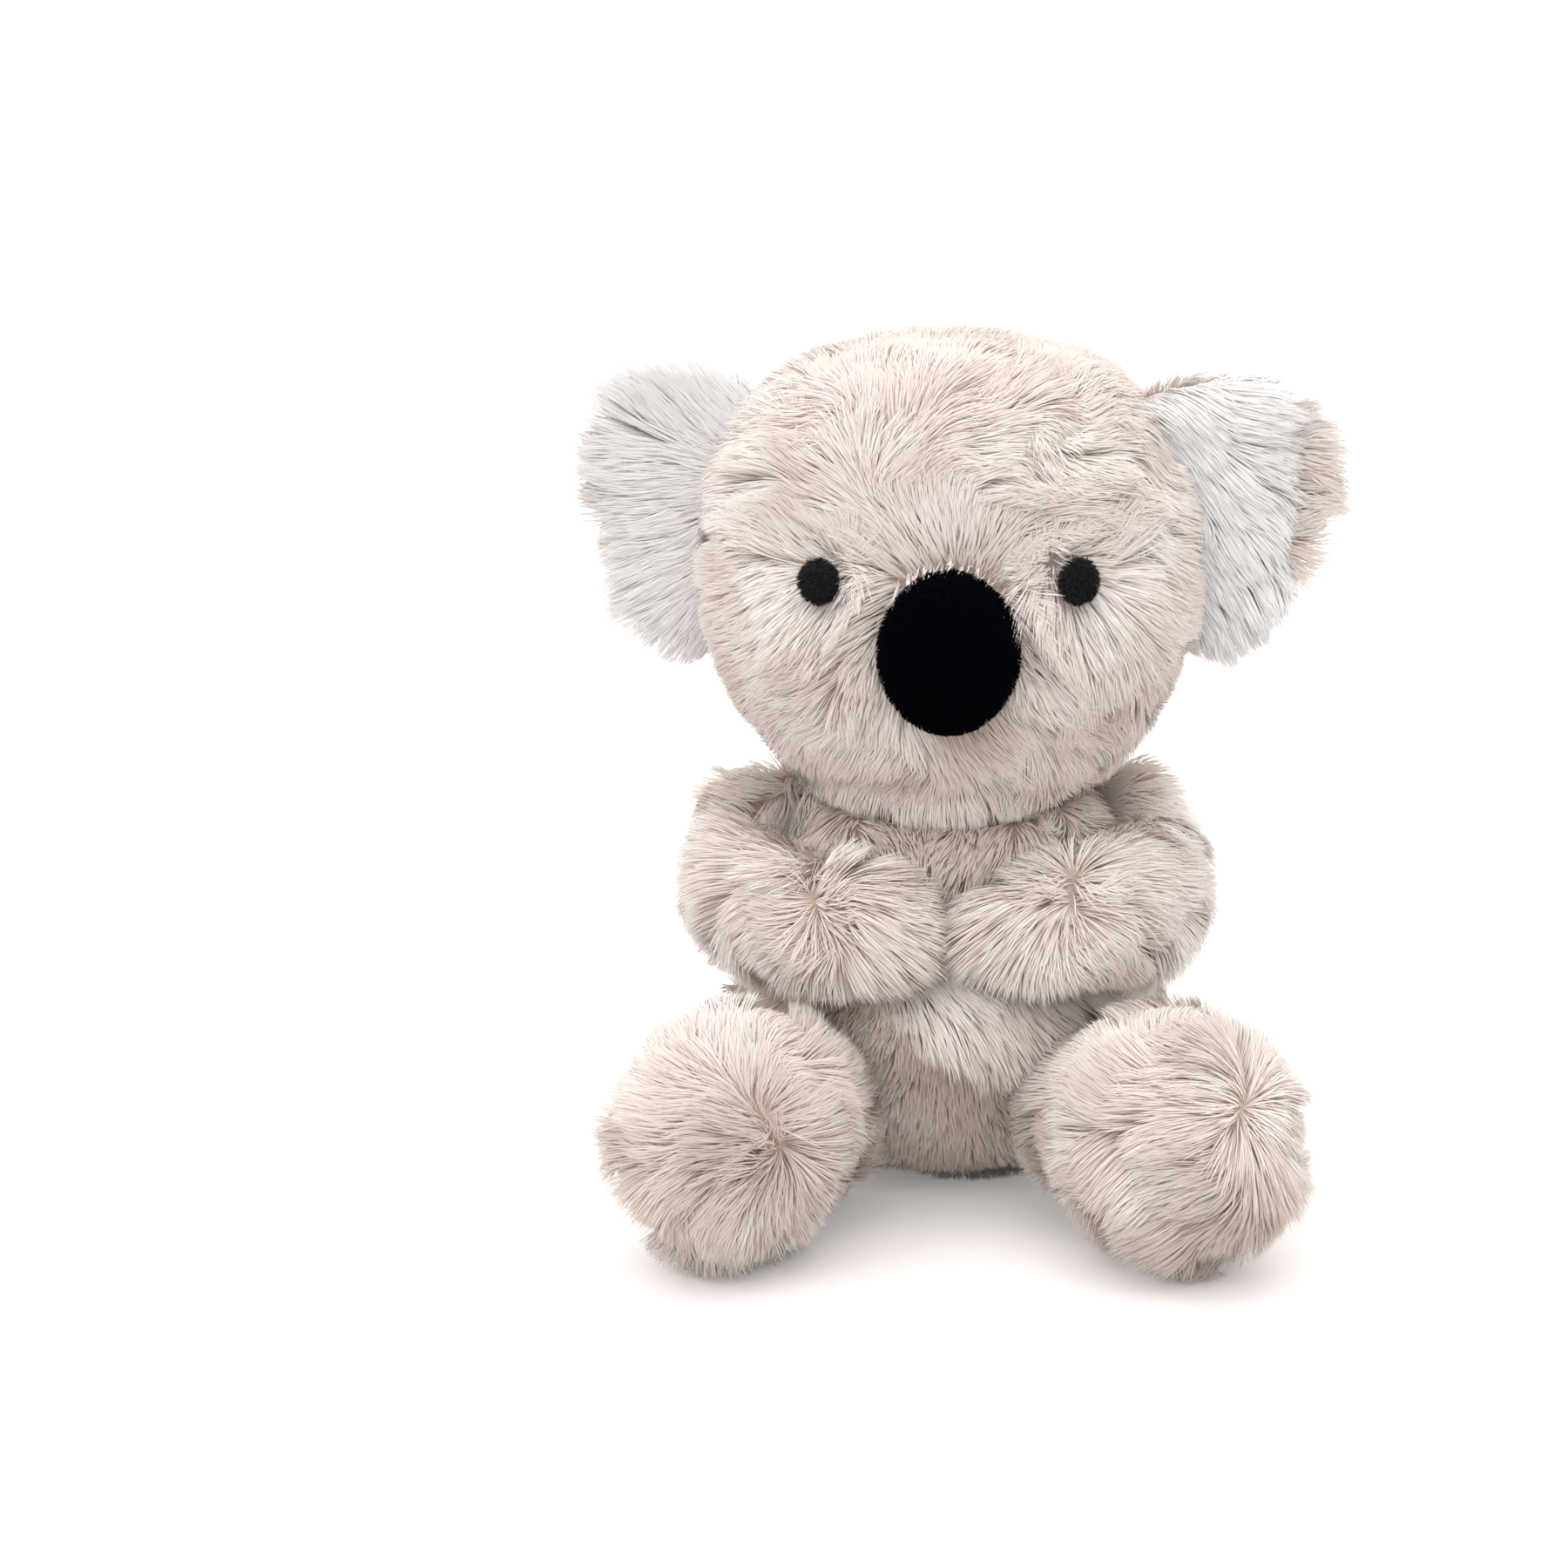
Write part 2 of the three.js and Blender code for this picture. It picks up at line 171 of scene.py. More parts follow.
def seen_along(headings: Array, normals: Array) -> tuple[Array, Array]:
    """Directions flat on a surface that have a given heading in the front picture.

    Args:
        headings: Rows of picture directions, to the right and up.
        normals: The surface's outward direction at each point.

    Returns:
        Unit directions square to the normals, and how squarely each point faces the picture.
    """
    tilt = math.radians(LOOK_DOWN)
    least_facing = 0.12
    right = np.array([1.0, 0.0, 0.0])
    rise = np.array([0.0, math.sin(tilt), math.cos(tilt)])
    toward = np.array([0.0, -math.cos(tilt), math.sin(tilt)])
    level = headings[:, :1] * right + headings[:, 1:] * rise
    facing = (normals @ toward)[:, None]
    depth = (level * normals).sum(1, keepdims=True) / np.maximum(facing, least_facing)
    return unit(level - depth * toward), facing


def smooth_curve(knots: Array, place: Array) -> Array:
    """Points of a smooth curve through evenly spaced knots.

    Args:
        knots: Values or points, one after another.
        place: How far along, from 0 to 1.

    Returns:
        One row for each place.
    """
    knots = np.asarray(knots, float).reshape(len(knots), -1)
    last = len(knots) - 1
    spot = np.clip(place, 0, 1) * last
    index = np.minimum(spot.astype(int), last - 1)
    t = (spot - index)[:, None]
    a, b = knots[np.maximum(index - 1, 0)], knots[index]
    c, d = knots[index + 1], knots[np.minimum(index + 2, last)]
    bend = (2 * a - 5 * b + 4 * c - d) * t**2
    return (2 * b + (c - a) * t + bend + (3 * b - a - 3 * c + d) * t**3) / 2


class Ripple:
    """A smooth random value over space, the sum of a few plane waves.

    Attributes:
        WAVES: How many waves are summed.
        GRAINS: Shortest and longest wave, as shares of the grain.
        PEAK: Value that the sum seldom passes, either way.
    """

    WAVES = 16
    GRAINS = (0.7, 1.5)
    PEAK = 1.5

    def __init__(self, seed: int, grain: float) -> None:
        """Draws the waves.

        Args:
            seed: Number that fixes the draw.
            grain: Typical distance between a crest and the next, in millimetres.
        """
        rng = np.random.default_rng(seed)
        heading = unit(rng.normal(size=(self.WAVES, 3)))
        grains = grain * rng.uniform(*self.GRAINS, (self.WAVES, 1))
        self.waves = heading * 2 * math.pi / grains
        self.phase = rng.uniform(0, 2 * math.pi, self.WAVES)

    def at(self, points: Array) -> Array:
        """The value at each point."""
        sums = np.sin(points @ self.waves.T + self.phase).sum(1)
        return sums * math.sqrt(2 / self.WAVES)


class Drift:
    """Smooth random directions over space."""

    def __init__(self, seed: int, grain: float) -> None:
        """Draws one ripple for each axis; the arguments are those of a Ripple."""
        self.parts = [Ripple(seed * 3 + axis, grain) for axis in range(3)]

    def at(self, points: Array) -> Array:
        """The direction at each point."""
        return np.stack([part.at(points) for part in self.parts], axis=1)


@dataclass(frozen=True)
class Wander:
    """How a lay wanders by itself, in broad drifts with finer ones in them.

    Attributes:
        broad: Strength of the broad drifts beside a lay of about one.
        fine: Strength of the finer ones.
        broad_grain: Typical distance between broad drifts, in millimetres.
        fine_grain: The same of the finer ones.
    """

    broad: float = 0.4
    fine: float = 0.3
    broad_grain: float = 20.0
    fine_grain: float = 9.0

    def at(self, points: Array, broad_seed: int, fine_seed: int) -> Array:
        """The direction that it adds at each point."""
        broad = self.broad * Drift(broad_seed, self.broad_grain).at(points)
        return broad + self.fine * Drift(fine_seed, self.fine_grain).at(points)


# Surfaces


@dataclass
class Skin:
    """A closed surface of triangles, in millimetres."""

    points: Array
    triangles: Array

    def normals(self) -> Array:
        """The outward direction at each point."""
        a, b, c = (self.points[self.triangles[:, k]] for k in range(3))
        faces = np.cross(b - a, c - a)
        total = np.zeros_like(self.points)
        for k in range(3):
            np.add.at(total, self.triangles[:, k], faces)
        return unit(total)

    def tree(self) -> BVHTree:
        """The surface as a tree that finds its nearest point."""
        return BVHTree.FromPolygons(self.points.tolist(), self.triangles.tolist())

    def turned(self, degrees: float) -> "Skin":
        """The surface turned about the upright axis."""
        turn = np.array(Matrix.Rotation(math.radians(degrees), 3, "Z"))
        return Skin(self.points @ turn.T, self.triangles)

    def scatter(self, per_square: float, rng: np.random.Generator) -> tuple[Array, Array]:
        """Spots spread evenly over the surface.

        Args:
            per_square: Spots for each square millimetre.
            rng: Source of the draw.

        Returns:
            The spots and the outward direction at each.
        """
        corners = self.points[self.triangles]
        cross = np.cross(corners[:, 1] - corners[:, 0], corners[:, 2] - corners[:, 0])
        area = np.linalg.norm(cross, axis=1) / 2
        count = int(area.sum() * per_square)
        face = rng.choice(len(area), count, p=area / area.sum())
        u, v = rng.random((2, count, 1))
        over = u + v > 1
        u, v = np.where(over, 1 - u, u), np.where(over, 1 - v, v)
        shares = np.stack([1 - u - v, u, v], axis=1)
        normals = self.normals()[self.triangles[face]]
        return (corners[face] * shares).sum(1), unit((normals * shares).sum(1))


def closed_skin(rings: Array, start: Array, end: Array) -> Skin:
    """Joins rings of points into one closed surface.

    Args:
        rings: Points of each ring, counter-clockwise about the way from start to end.
        start: Point that closes the first ring.
        end: Point that closes the last ring.

    Returns:
        The surface, with its faces pointing out.
    """
    count, sides, _ = rings.shape
    points = np.concatenate([start[None], rings.reshape(-1, 3), end[None]])
    ring, side = np.meshgrid(np.arange(count - 1), np.arange(sides), indexing="ij")
    here = (1 + ring * sides + side).ravel()
    beside = (1 + ring * sides + (side + 1) % sides).ravel()
    walls = [[here, beside, beside + sides], [here, beside + sides, here + sides]]
    first = 1 + np.arange(sides)
    last = first + (count - 1) * sides
    tips = [
        [np.zeros(sides, int), np.roll(first, -1), first],
        [np.full(sides, len(points) - 1), last, np.roll(last, -1)],
    ]
    triangles = [np.stack(corners, axis=1) for corners in walls + tips]
    return Skin(points, np.concatenate(triangles))


@dataclass(frozen=True)
class Plump:
    """A stuffed form that swells and tapers between a low and a high pole.

    The squares say how full it is below and above its middle: under one is fuller than a ball.
    """

    half_width: float
    half_height: float
    front: float
    back: float
    low_square: float
    high_square: float
    taper: float = 0.0
    swell: float = 0.0
    swell_height: float = 0.0
    swell_spread: float = 1.0

    def breadth(self, height: Array) -> Array:
        """Half breadth as a share of the half width, at heights from -1 to 1."""
        square = np.where(height < 0, self.low_square, self.high_square)
        full = np.sqrt(np.maximum(0, 1 - height**2))
        return full**square * (1 - self.taper * height)

    def point(self, height: Array, angle: Array, grow: float = 0.0) -> Array:
        """Points of the surface about the form's own centre.

        Args:
            height: Height shares from -1 to 1.
            angle: Angles from +X towards +Y, in radians.
            grow: How much larger the form is on every side.

        Returns:
            One point for each height and angle.
        """
        height, angle = np.broadcast_arrays(np.asarray(height, float), angle)
        breadth = self.breadth(height)
        forward = np.maximum(0, -np.sin(angle))
        offset = (height - self.swell_height) / self.swell_spread
        bulge = 1 + self.swell * np.exp(-(offset**2)) * forward**2
        depth = np.where(np.sin(angle) < 0, self.front, self.back)
        x = (self.half_width + grow) * breadth * np.cos(angle)
        y = (depth + grow) * breadth * bulge * np.sin(angle)
        return np.stack([x, y, (self.half_height + grow) * height], axis=-1)

    def skin(self, inset: Callable[[Array], Array], rings: int, sides: int) -> Skin:
        """The whole surface, sunk on every side.

        Args:
            inset: How far it is sunk, from height shares.
            rings: Rings from pole to pole.
            sides: Points round it.

        Returns:
            The closed surface.
        """
        height = -np.cos(math.pi * np.arange(rings + 1) / rings)
        sink = inset(height)
        angle = 2 * math.pi * np.arange(sides)[None] / sides
        rows = self.point(height[:, None], angle, -sink[:, None])
        return closed_skin(rows[1:-1], rows[0, 0], rows[-1, 0])


@dataclass(frozen=True)
class Limb:
    """A stuffed limb that swells and tapers along a curve through its centres."""

    centres: Array
    half_wide: Array
    half_tall: Array
    start_cap: float
    end_cap: float

    LINE_STEPS = 240

    def line(self) -> tuple[Array, Array]:
        """The centre line as points, and the length up to each."""
        points = smooth_curve(self.centres, np.linspace(0, 1, self.LINE_STEPS))
        steps = np.linalg.norm(np.diff(points, axis=0), axis=1)
        return points, np.concatenate([[0], np.cumsum(steps)])

    def at(self, place: Array) -> tuple[Array, Array]:
        """Centre and heading at places along the limb, which may run past its ends."""
        points, length = self.line()
        headings = unit(np.gradient(points, length, axis=0))
        inside = np.clip(place, 0, 1)
        centre = [np.interp(inside * length[-1], length, points[:, k]) for k in range(3)]
        heading = [np.interp(inside * length[-1], length, headings[:, k]) for k in range(3)]
        heading = unit(np.stack(heading, axis=1))
        beyond = ((place - inside) * length[-1])[:, None]
        return np.stack(centre, axis=1) + heading * beyond, heading

    def skin(self, pile: float, root_reach: float, rings: int, sides: int) -> Skin:
        """The limb's backing, under its pile.

        Args:
            pile: How far the backing lies under the outside of the pile.
            root_reach: How much further the limb starts inside what carries it.
            rings: Rings along the limb.
            sides: Points round it.

        Returns:
            The closed surface.
        """
        length = self.line()[1][-1]
        share = (1 - np.cos(math.pi * np.arange(rings + 1) / rings)) / 2
        start, end = -root_reach / length, 1 - pile / length
        place = start + share * (end - start)
        centre, heading = self.at(place)
        tall = along_skin(np.broadcast_to(UP, centre.shape), heading)
        wide = np.cross(tall, heading)
        near = np.minimum(1, share / self.start_cap)
        far = np.minimum(1, (1 - share) / self.end_cap)
        rounding = np.sqrt(1 - (1 - near) ** 2) * np.sqrt(1 - (1 - far) ** 2)
        half_wide = (smooth_curve(self.half_wide, place)[:, 0] - pile) * rounding
        half_tall = (smooth_curve(self.half_tall, place)[:, 0] - pile) * rounding
        angle = 2 * math.pi * np.arange(sides) / sides
        across = wide[:, None] * (half_wide[:, None] * np.cos(angle))[..., None]
        above = tall[:, None] * (half_tall[:, None] * np.sin(angle))[..., None]
        rows = centre[:, None] + across + above
        return closed_skin(rows[1:-1], centre[0], centre[-1])


# Meshes


def new_piece(name: str, points: Array, faces: Sequence) -> Piece:
    """A mesh object, shaded smooth, from points in millimetres.

    Args:
        name: The piece's name.
        points: Its points.
        faces: Its faces, as rows of point numbers.

    Returns:
        The object, linked to the scene.
    """
    mesh = bpy.data.meshes.new(name)
    mesh.from_pydata((points * METRES).tolist(), [], np.asarray(faces).tolist())
    mesh.shade_smooth()
    piece = bpy.data.objects.new(name, mesh)
    bpy.context.scene.collection.objects.link(piece)
    return piece


# Pile


@dataclass(frozen=True)
class Combing:
    """Strokes of a brush over the front of a piece.

    Attributes:
        strokes: X and height of each stroke, in millimetres, and its heading in degrees. The
            heading is seen from the front and runs from the toy's left towards up.
        reach: How far the hold of a stroke goes, in millimetres.
        strength: How firm it is beside the lay of the rest, which is about one.
        FULL_FACING: How squarely the pile faces the camera where strokes hold in full.
    """

    strokes: tuple[tuple[float, float, float], ...]
    reach: float = 9.0
    strength: float = 1.8

    FULL_FACING = 1 / 3

    def at(self, points: Array, normals: Array) -> Array:
        """The direction that the strokes add at each point."""
        x, z, heading = np.array(self.strokes).T
        gap = (points[:, 0, None] - x) ** 2 + (points[:, 2, None] - z) ** 2
        hold = np.exp(-gap / self.reach**2)
        heading = np.radians(heading)
        pull = hold @ np.stack([np.cos(heading), np.sin(heading)], axis=1)
        ways, facing = seen_along(pull, normals)
        firm = np.linalg.norm(pull, axis=1, keepdims=True) * fade(facing, 0, self.FULL_FACING)
        return self.strength * firm * ways


@dataclass(frozen=True)
class PileCut:
    """How one pile is cut and brushed, in millimetres and degrees.

    Real fibres are about 0.05 mm thick. They are drawn as coarse as the picture needs.

    Attributes:
        length: Length of a fibre.
        per_square: Fibres drawn on each square millimetre.
        width: Drawn width of a fibre.
        root_lean: How far a fibre leans from square at its root.
        tip_lean: How far its tip leans.
        tuft: Distance between tufts, small bunches whose tips cling together.
        lock: Distance between locks, each a few tufts that share a lay and a length.
        tuft_pull: How firmly the tips of a tuft gather, from 0 to 1.
        lock_pull: The same of a lock.
        lock_stray: How far locks stray from the lay, where 1 is 45 degrees.
        stray: How far single fibres stray.
        crimp: How far a fibre waves to the side.
        uneven: Share by which the lengths of locks differ.
    """

    length: float
    per_square: float
    width: float = 0.25
    root_lean: float = 28.0
    tip_lean: float = 76.0
    tuft: float = 2.0
    lock: float = 9.0
    tuft_pull: float = 0.1
    lock_pull: float = 0.1
    lock_stray: float = 0.25
    stray: float = 0.09
    crimp: float = 0.3
    uneven: float = 0.2


@dataclass
class Brushing:
    """How a pile lies at each root: its direction, and shares of its length and lean.

    No fibre grows where the share of the length is zero. The frost says how much paler than the rest
    the pile is there, from -1 to 1, and holds painted light and shade as well as the pile's own frost.
    """

    lay: Array
    length: Array
    lean: Array
    frost: Array | float = 0.0

    def thinned(self, kept: Array) -> "Brushing":
        """The same for the kept roots only."""
        frost = np.broadcast_to(self.frost, kept.shape)
        return Brushing(self.lay[kept], self.length[kept], self.lean[kept], frost[kept])


Brush = Callable[[Array, Array], Brushing]


class Pile:
    """Separate fibres on a backing, as thin tapering ribbons.

    Attributes:
        STEPS: Straight steps of each fibre.
        TAPER: Width at each step, from the root, as a share of the full width.
        WIDTHS: Narrowest and widest fibre, as shares of the cut's width.
        TWIST: How far a ribbon is turned about its own length, where 1 is 45 degrees.
        SHORTENING: Share of its length that a single fibre may lack.
        GATHERING: Power by which a bunch gathers from its roots to its tips.
        SOFTNESS: How far the shading of a fibre follows that of the whole pile, from 0 to 1.
        LEAST_ROOM: Height that pressed pile keeps, in millimetres.
        PRESSED: Share of its length that a fibre loses when it is pressed quite flat.
        FLOOR: Height of the lowest fibres over the floor, in millimetres.
        FLOOR_LAYER: Height through which the fibres on the floor are spread, in millimetres.
        TONE: Middle tone, where 0 is warm and 1 is frosted.
        PATCHES: How far the tone varies by patches, and their distance in millimetres.
        LOCK_TONE, TUFT_TONE, FIBRE_TONE: How far it varies by locks, tufts and fibres.
        FROSTING: How far full frost, with its painted light and shade, moves it.
        PATCH_SEED: Added to the seed of the fibres for that of the patches.
    """

    STEPS = 4
    TAPER = (0.8, 1.0, 1.0, 0.8)
    WIDTHS = (0.7, 1.25)
    TWIST = 0.12
    SHORTENING = 0.3
    GATHERING = 1.3
    SOFTNESS = 0.45
    LEAST_ROOM = 1.2
    PRESSED = 0.5
    FLOOR = 0.3
    FLOOR_LAYER = 0.4
    TONE = 0.55
    PATCHES = (0.18, 18.0)
    LOCK_TONE = 0.15
    TUFT_TONE = 0.1
    FIBRE_TONE = 0.08
    FROSTING = 0.5
    PATCH_SEED = 71
    QUICK_SHARE = 0.35

    def __init__(
        self,
        name: str,
        bed: Skin,
        cut: PileCut,
        brush: Brush,
        neighbours: Sequence[BVHTree],
        finish: Material,
        seed: int,
    ) -> None:
        """Grows the pile and makes its mesh.

        Args:
            name: The piece's name.
            bed: The backing that it grows on.
            cut: How it is cut.
            brush: Gives the lay at points with their normals.
            neighbours: Backings of the pieces beside it, which press it flat.
            finish: Its material.
            seed: Number that fixes the draw.
        """
        self.cut = cut
        self.rng = np.random.default_rng(seed)
        self.per_square = cut.per_square * 1.0
        self.roots, self.normals = bed.scatter(self.per_square, self.rng)
        brushing = brush(self.roots, self.normals)
        grown = brushing.length > 0
        self.roots, self.normals = self.roots[grown], self.normals[grown]
        brushing = brushing.thinned(grown)
        lock_heads, lock = self.gather(cut.lock)
        tuft_heads, tuft = self.gather(cut.tuft)
        lay, length = self.ruffle(brushing, lock, tuft)
        rise = self.room(neighbours)
        paths = self.grow(lay, length, brushing.lean, rise)
        paths = self.bunch(paths, tuft_heads[tuft], cut.tuft_pull)
        paths = self.bunch(paths, lock_heads[lock], cut.lock_pull)
        lowest = self.FLOOR + self.FLOOR_LAYER * self.rng.random((len(paths), 1))
        paths[..., 2] = np.maximum(paths[..., 2], lowest)
        # The tone takes the pile's frost and the painted light and shade of the brushing
        tone = self.tone(lock, tuft, seed) + self.FROSTING * brushing.frost
        self.piece = self.mesh(name, paths, np.clip(tone, 0, 1))
        self.piece.data.materials.append(finish)
        log.info("%s: %d fibres", name, len(paths))

    def gather(self, spacing: float) -> tuple[Array, Array]:
        """Picks leading fibres about that far apart, and each fibre's nearest leader.

        Args:
            spacing: Distance between leaders, in millimetres.

        Returns:
            The leaders' numbers, and for each fibre its leader's place in that list.
        """
        share = 1.0 / (self.per_square * spacing**2)
        count = max(1, int(len(self.roots) * min(1, share)))
        heads = self.rng.choice(len(self.roots), count, replace=False)
        tree = KDTree(count)
        for place, head in enumerate(heads):
            tree.insert(self.roots[head], place)
        tree.balance()
        nearest = [tree.find(root)[1] for root in self.roots]
        return heads, np.array(nearest)

    def ruffle(self, brushing: Brushing, lock: Array, tuft: Array) -> tuple[Array, Array]:
        """Lets locks, tufts and fibres stray from the brushed lay, in direction and length.

        Args:
            brushing: The brushed lay.
            lock: Lock of each fibre.
            tuft: Tuft of each fibre.

        Returns:
            Directions along the backing, and lengths in millimetres.
        """
        cut, rng = self.cut, self.rng
        lock_way = rng.normal(size=(lock.max() + 1, 3)) * cut.lock_stray
        tuft_way = rng.normal(size=(tuft.max() + 1, 3)) * cut.stray
        own_way = rng.normal(size=self.roots.shape) * cut.stray
        lay = brushing.lay + lock_way[lock] + tuft_way[tuft] + own_way
        lock_length = 1 + cut.uneven * rng.uniform(-1, 1, lock.max() + 1)
        own_length = 1 - self.SHORTENING * rng.random(len(self.roots)) ** 2
        length = cut.length * brushing.length * lock_length[lock] * own_length
        return along_skin(lay, self.normals), length

    def room(self, neighbours: Sequence[BVHTree]) -> Array:
        """Height that each fibre may take before it meets the pile of a neighbour."""
        rise = np.full(len(self.roots), np.inf)
        for tree in neighbours:
            for index, root in enumerate(self.roots):
                spot, normal, _, distance = tree.find_nearest(root)
                inside = (Vector(root) - spot).dot(normal) < 0
                rise[index] = min(rise[index], 0 if inside else distance / 2)
        return np.maximum(rise, self.LEAST_ROOM)

    def grow(self, lay: Array, length: Array, lean_share: Array, rise: Array) -> Array:
        """Grows each fibre from its root, leaning more towards its tip.

        Args:
            lay: Direction along the backing.
            length: Length of each fibre.
            lean_share: Share of the cut's lean.
            rise: Height that each fibre may take.

        Returns:
            The points of each fibre, from root to tip.
        """
        cut, steps = self.cut, self.STEPS
        middle = (np.arange(steps) + 0.5) / steps
        lean = np.radians(cut.root_lean + (cut.tip_lean - cut.root_lean) * middle)
        lean = lean[None] * lean_share[:, None]
        wanted = length * np.cos(lean).mean(1)
        press = np.minimum(1, rise / wanted)
        step = (length * (1 - self.PRESSED + self.PRESSED * press) / steps)[:, None, None]
        out = self.normals[:, None] * (np.cos(lean) * press[:, None])[..., None]
        ways = unit(out + lay[:, None] * np.sin(lean)[..., None])
        start = self.roots[:, None]
        paths = np.concatenate([start, start + np.cumsum(ways * step, axis=1)], axis=1)
        t = np.linspace(0, 1, steps + 1)[None, :, None]
        swing = self.rng.normal(size=(len(paths), 1, 3)) * cut.crimp
        sway = self.rng.normal(size=(len(paths), 1, 3)) * cut.crimp
        return paths + swing * t**2 + sway * np.sin(math.pi * t) / 2

    def bunch(self, paths: Array, heads: Array, pull: float) -> Array:
        """Draws the tips of a bunch together.

        Args:
            paths: The fibres.
            heads: Number of each fibre's leader.
            pull: How firmly, from 0 to 1.

        Returns:
            The drawn fibres.
        """
        t = np.linspace(0, 1, self.STEPS + 1)[None, :, None]
        return paths + (paths[heads] - paths) * pull * t**self.GATHERING

    def tone(self, lock: Array, tuft: Array, seed: int) -> Array:
        """Tone of each fibre, before the frost.

        Args:
            lock: Lock of each fibre.
            tuft: Tuft of each fibre.
            seed: Number that fixes the draw of the patches.

        Returns:
            The tones, where 0 is warm and 1 is frosted.
        """
        rng = self.rng
        strength, grain = self.PATCHES
        patch = strength * Ripple(seed + self.PATCH_SEED, grain).at(self.roots)
        by_lock = rng.uniform(-self.LOCK_TONE, self.LOCK_TONE, lock.max() + 1)[lock]
        by_tuft = rng.uniform(-self.TUFT_TONE, self.TUFT_TONE, tuft.max() + 1)[tuft]
        own = rng.uniform(-self.FIBRE_TONE, self.FIBRE_TONE, len(self.roots))
        return self.TONE + patch + by_lock + by_tuft + own

    def mesh(self, name: str, paths: Array, tone: Array) -> Piece:
        """Makes the fibres as ribbons that face away from the backing, give or take a twist.

        Args:
            name: The piece's name.
            paths: The fibres.
            tone: Their tones, which the map keeps beside the place along the fibre.

        Returns:
            The object.
        """
        count, steps = len(paths), self.STEPS
        heading = unit(paths[:, -1] - paths[:, 0])
        twist = self.rng.normal(size=(count, 3)) * self.TWIST
        side = unit(np.cross(heading, self.normals + twist))
        half = self.cut.width / 2 * self.rng.uniform(*self.WIDTHS, (count, 1, 1))
        offset = side[:, None] * half * np.array(self.TAPER)[None, :, None]
        body = paths[:, :-1]
        pairs = np.stack([body - offset, body + offset], axis=2).reshape(count, 2 * steps, 3)
        points = np.concatenate([pairs, paths[:, -1:]], axis=1)
        each = 2 * steps + 1
        quads = [[2 * k, 2 * k + 1, 2 * k + 3, 2 * k + 2] for k in range(steps - 1)]
        corners = sum(quads, []) + [2 * steps - 2, 2 * steps - 1, 2 * steps]
        loops = (np.arange(count)[:, None] * each + np.array(corners)[None]).ravel()
        sizes = np.tile([4] * (steps - 1) + [3], count)
        mesh = bpy.data.meshes.new(name)
        mesh.vertices.add(count * each)
        mesh.vertices.foreach_set("co", (points * METRES).astype(np.float32).ravel())
        mesh.loops.add(len(loops))
        mesh.loops.foreach_set("vertex_index", loops.astype(np.int32))
        mesh.polygons.add(len(sizes))
        starts = np.concatenate([[0], np.cumsum(sizes)[:-1]])
        mesh.polygons.foreach_set("loop_start", starts.astype(np.int32))
        mesh.polygons.foreach_set("material_index", np.zeros(len(sizes), np.int32))
        mesh.update(calc_edges=True)
        self.map(mesh, loops, tone, each)
        faces = np.cross(side, heading)
        soft = unit(self.SOFTNESS * self.normals + (1 - self.SOFTNESS) * faces)
        mesh.normals_split_custom_set_from_vertices(np.repeat(soft, each, axis=0))
        piece = bpy.data.objects.new(name, mesh)
        bpy.context.scene.collection.objects.link(piece)
        return piece

    def map(self, mesh: bpy.types.Mesh, loops: Array, tone: Array, each: int) -> None:
        """Maps every fibre onto one square: its tone across, root to tip upwards.

        Args:
            mesh: The pile's mesh.
            loops: Point number of each corner.
            tone: Tone of each fibre.
            each: Points of a fibre.
        """
        margin, sliver = 0.03, 0.004
        fibre, point = loops // each, loops % each
        place = np.minimum(point // 2, self.STEPS) / self.STEPS
        across = margin + (1 - 2 * margin) * tone[fibre] + sliver * (point % 2)
        upwards = margin + (1 - 2 * margin) * place
        layer = mesh.uv_layers.new(name=BAKE_MAP)
        spots = np.stack([across, upwards], axis=1).astype(np.float32)
        layer.data.foreach_set("uv", spots.ravel())


# Finishes


def linear(hexadecimal: str) -> tuple[float, float, float, float]:
    """An sRGB hex colour as linear numbers with full alpha."""
    parts = [int(hexadecimal[k : k + 2], 16) / 255 for k in (1, 3, 5)]
    curved = [p / 12.92 if p <= 0.04045 else ((p + 0.055) / 1.055) ** 2.4 for p in parts]
    return (curved[0], curved[1], curved[2], 1.0)


def add_node(tree: bpy.types.NodeTree, kind: str, values: dict | None = None,
             links: dict | None = None, **settings: object) -> bpy.types.Node:
    """Adds a node with its settings and links.

    Args:
        tree: The material's nodes.
        kind: The node's type.
        values: Values of its sockets, by name or number.
        links: Output that feeds each socket, by name or number.
        **settings: The node's own settings.

    Returns:
        The node.
    """
    node = tree.nodes.new(kind)
    for name, value in settings.items():
        setattr(node, name, value)
    for socket, value in (values or {}).items():
        node.inputs[socket].default_value = value
    for socket, source in (links or {}).items():
        tree.links.new(source, node.inputs[socket])
    return node


def new_finish(name: str) -> tuple[Material, bpy.types.NodeTree]:
    """An empty node material and its nodes."""
    finish = bpy.data.materials.new(name)
    finish.use_nodes = True
    finish.node_tree.nodes.clear()
    return finish, finish.node_tree


def set_ramp(ramp: bpy.types.ColorRamp, stops: Sequence[tuple[float, str]]) -> None:
    """Sets a ramp's colours.

    Args:
        ramp: The ramp, new.
        stops: Places from 0 to 1 and sRGB hex colours, in order.
    """
    while len(ramp.elements) < len(stops):
        ramp.elements.new(0.5)
    for element, (place, colour) in zip(ramp.elements, stops):
        element.position = place
        element.color = linear(colour)


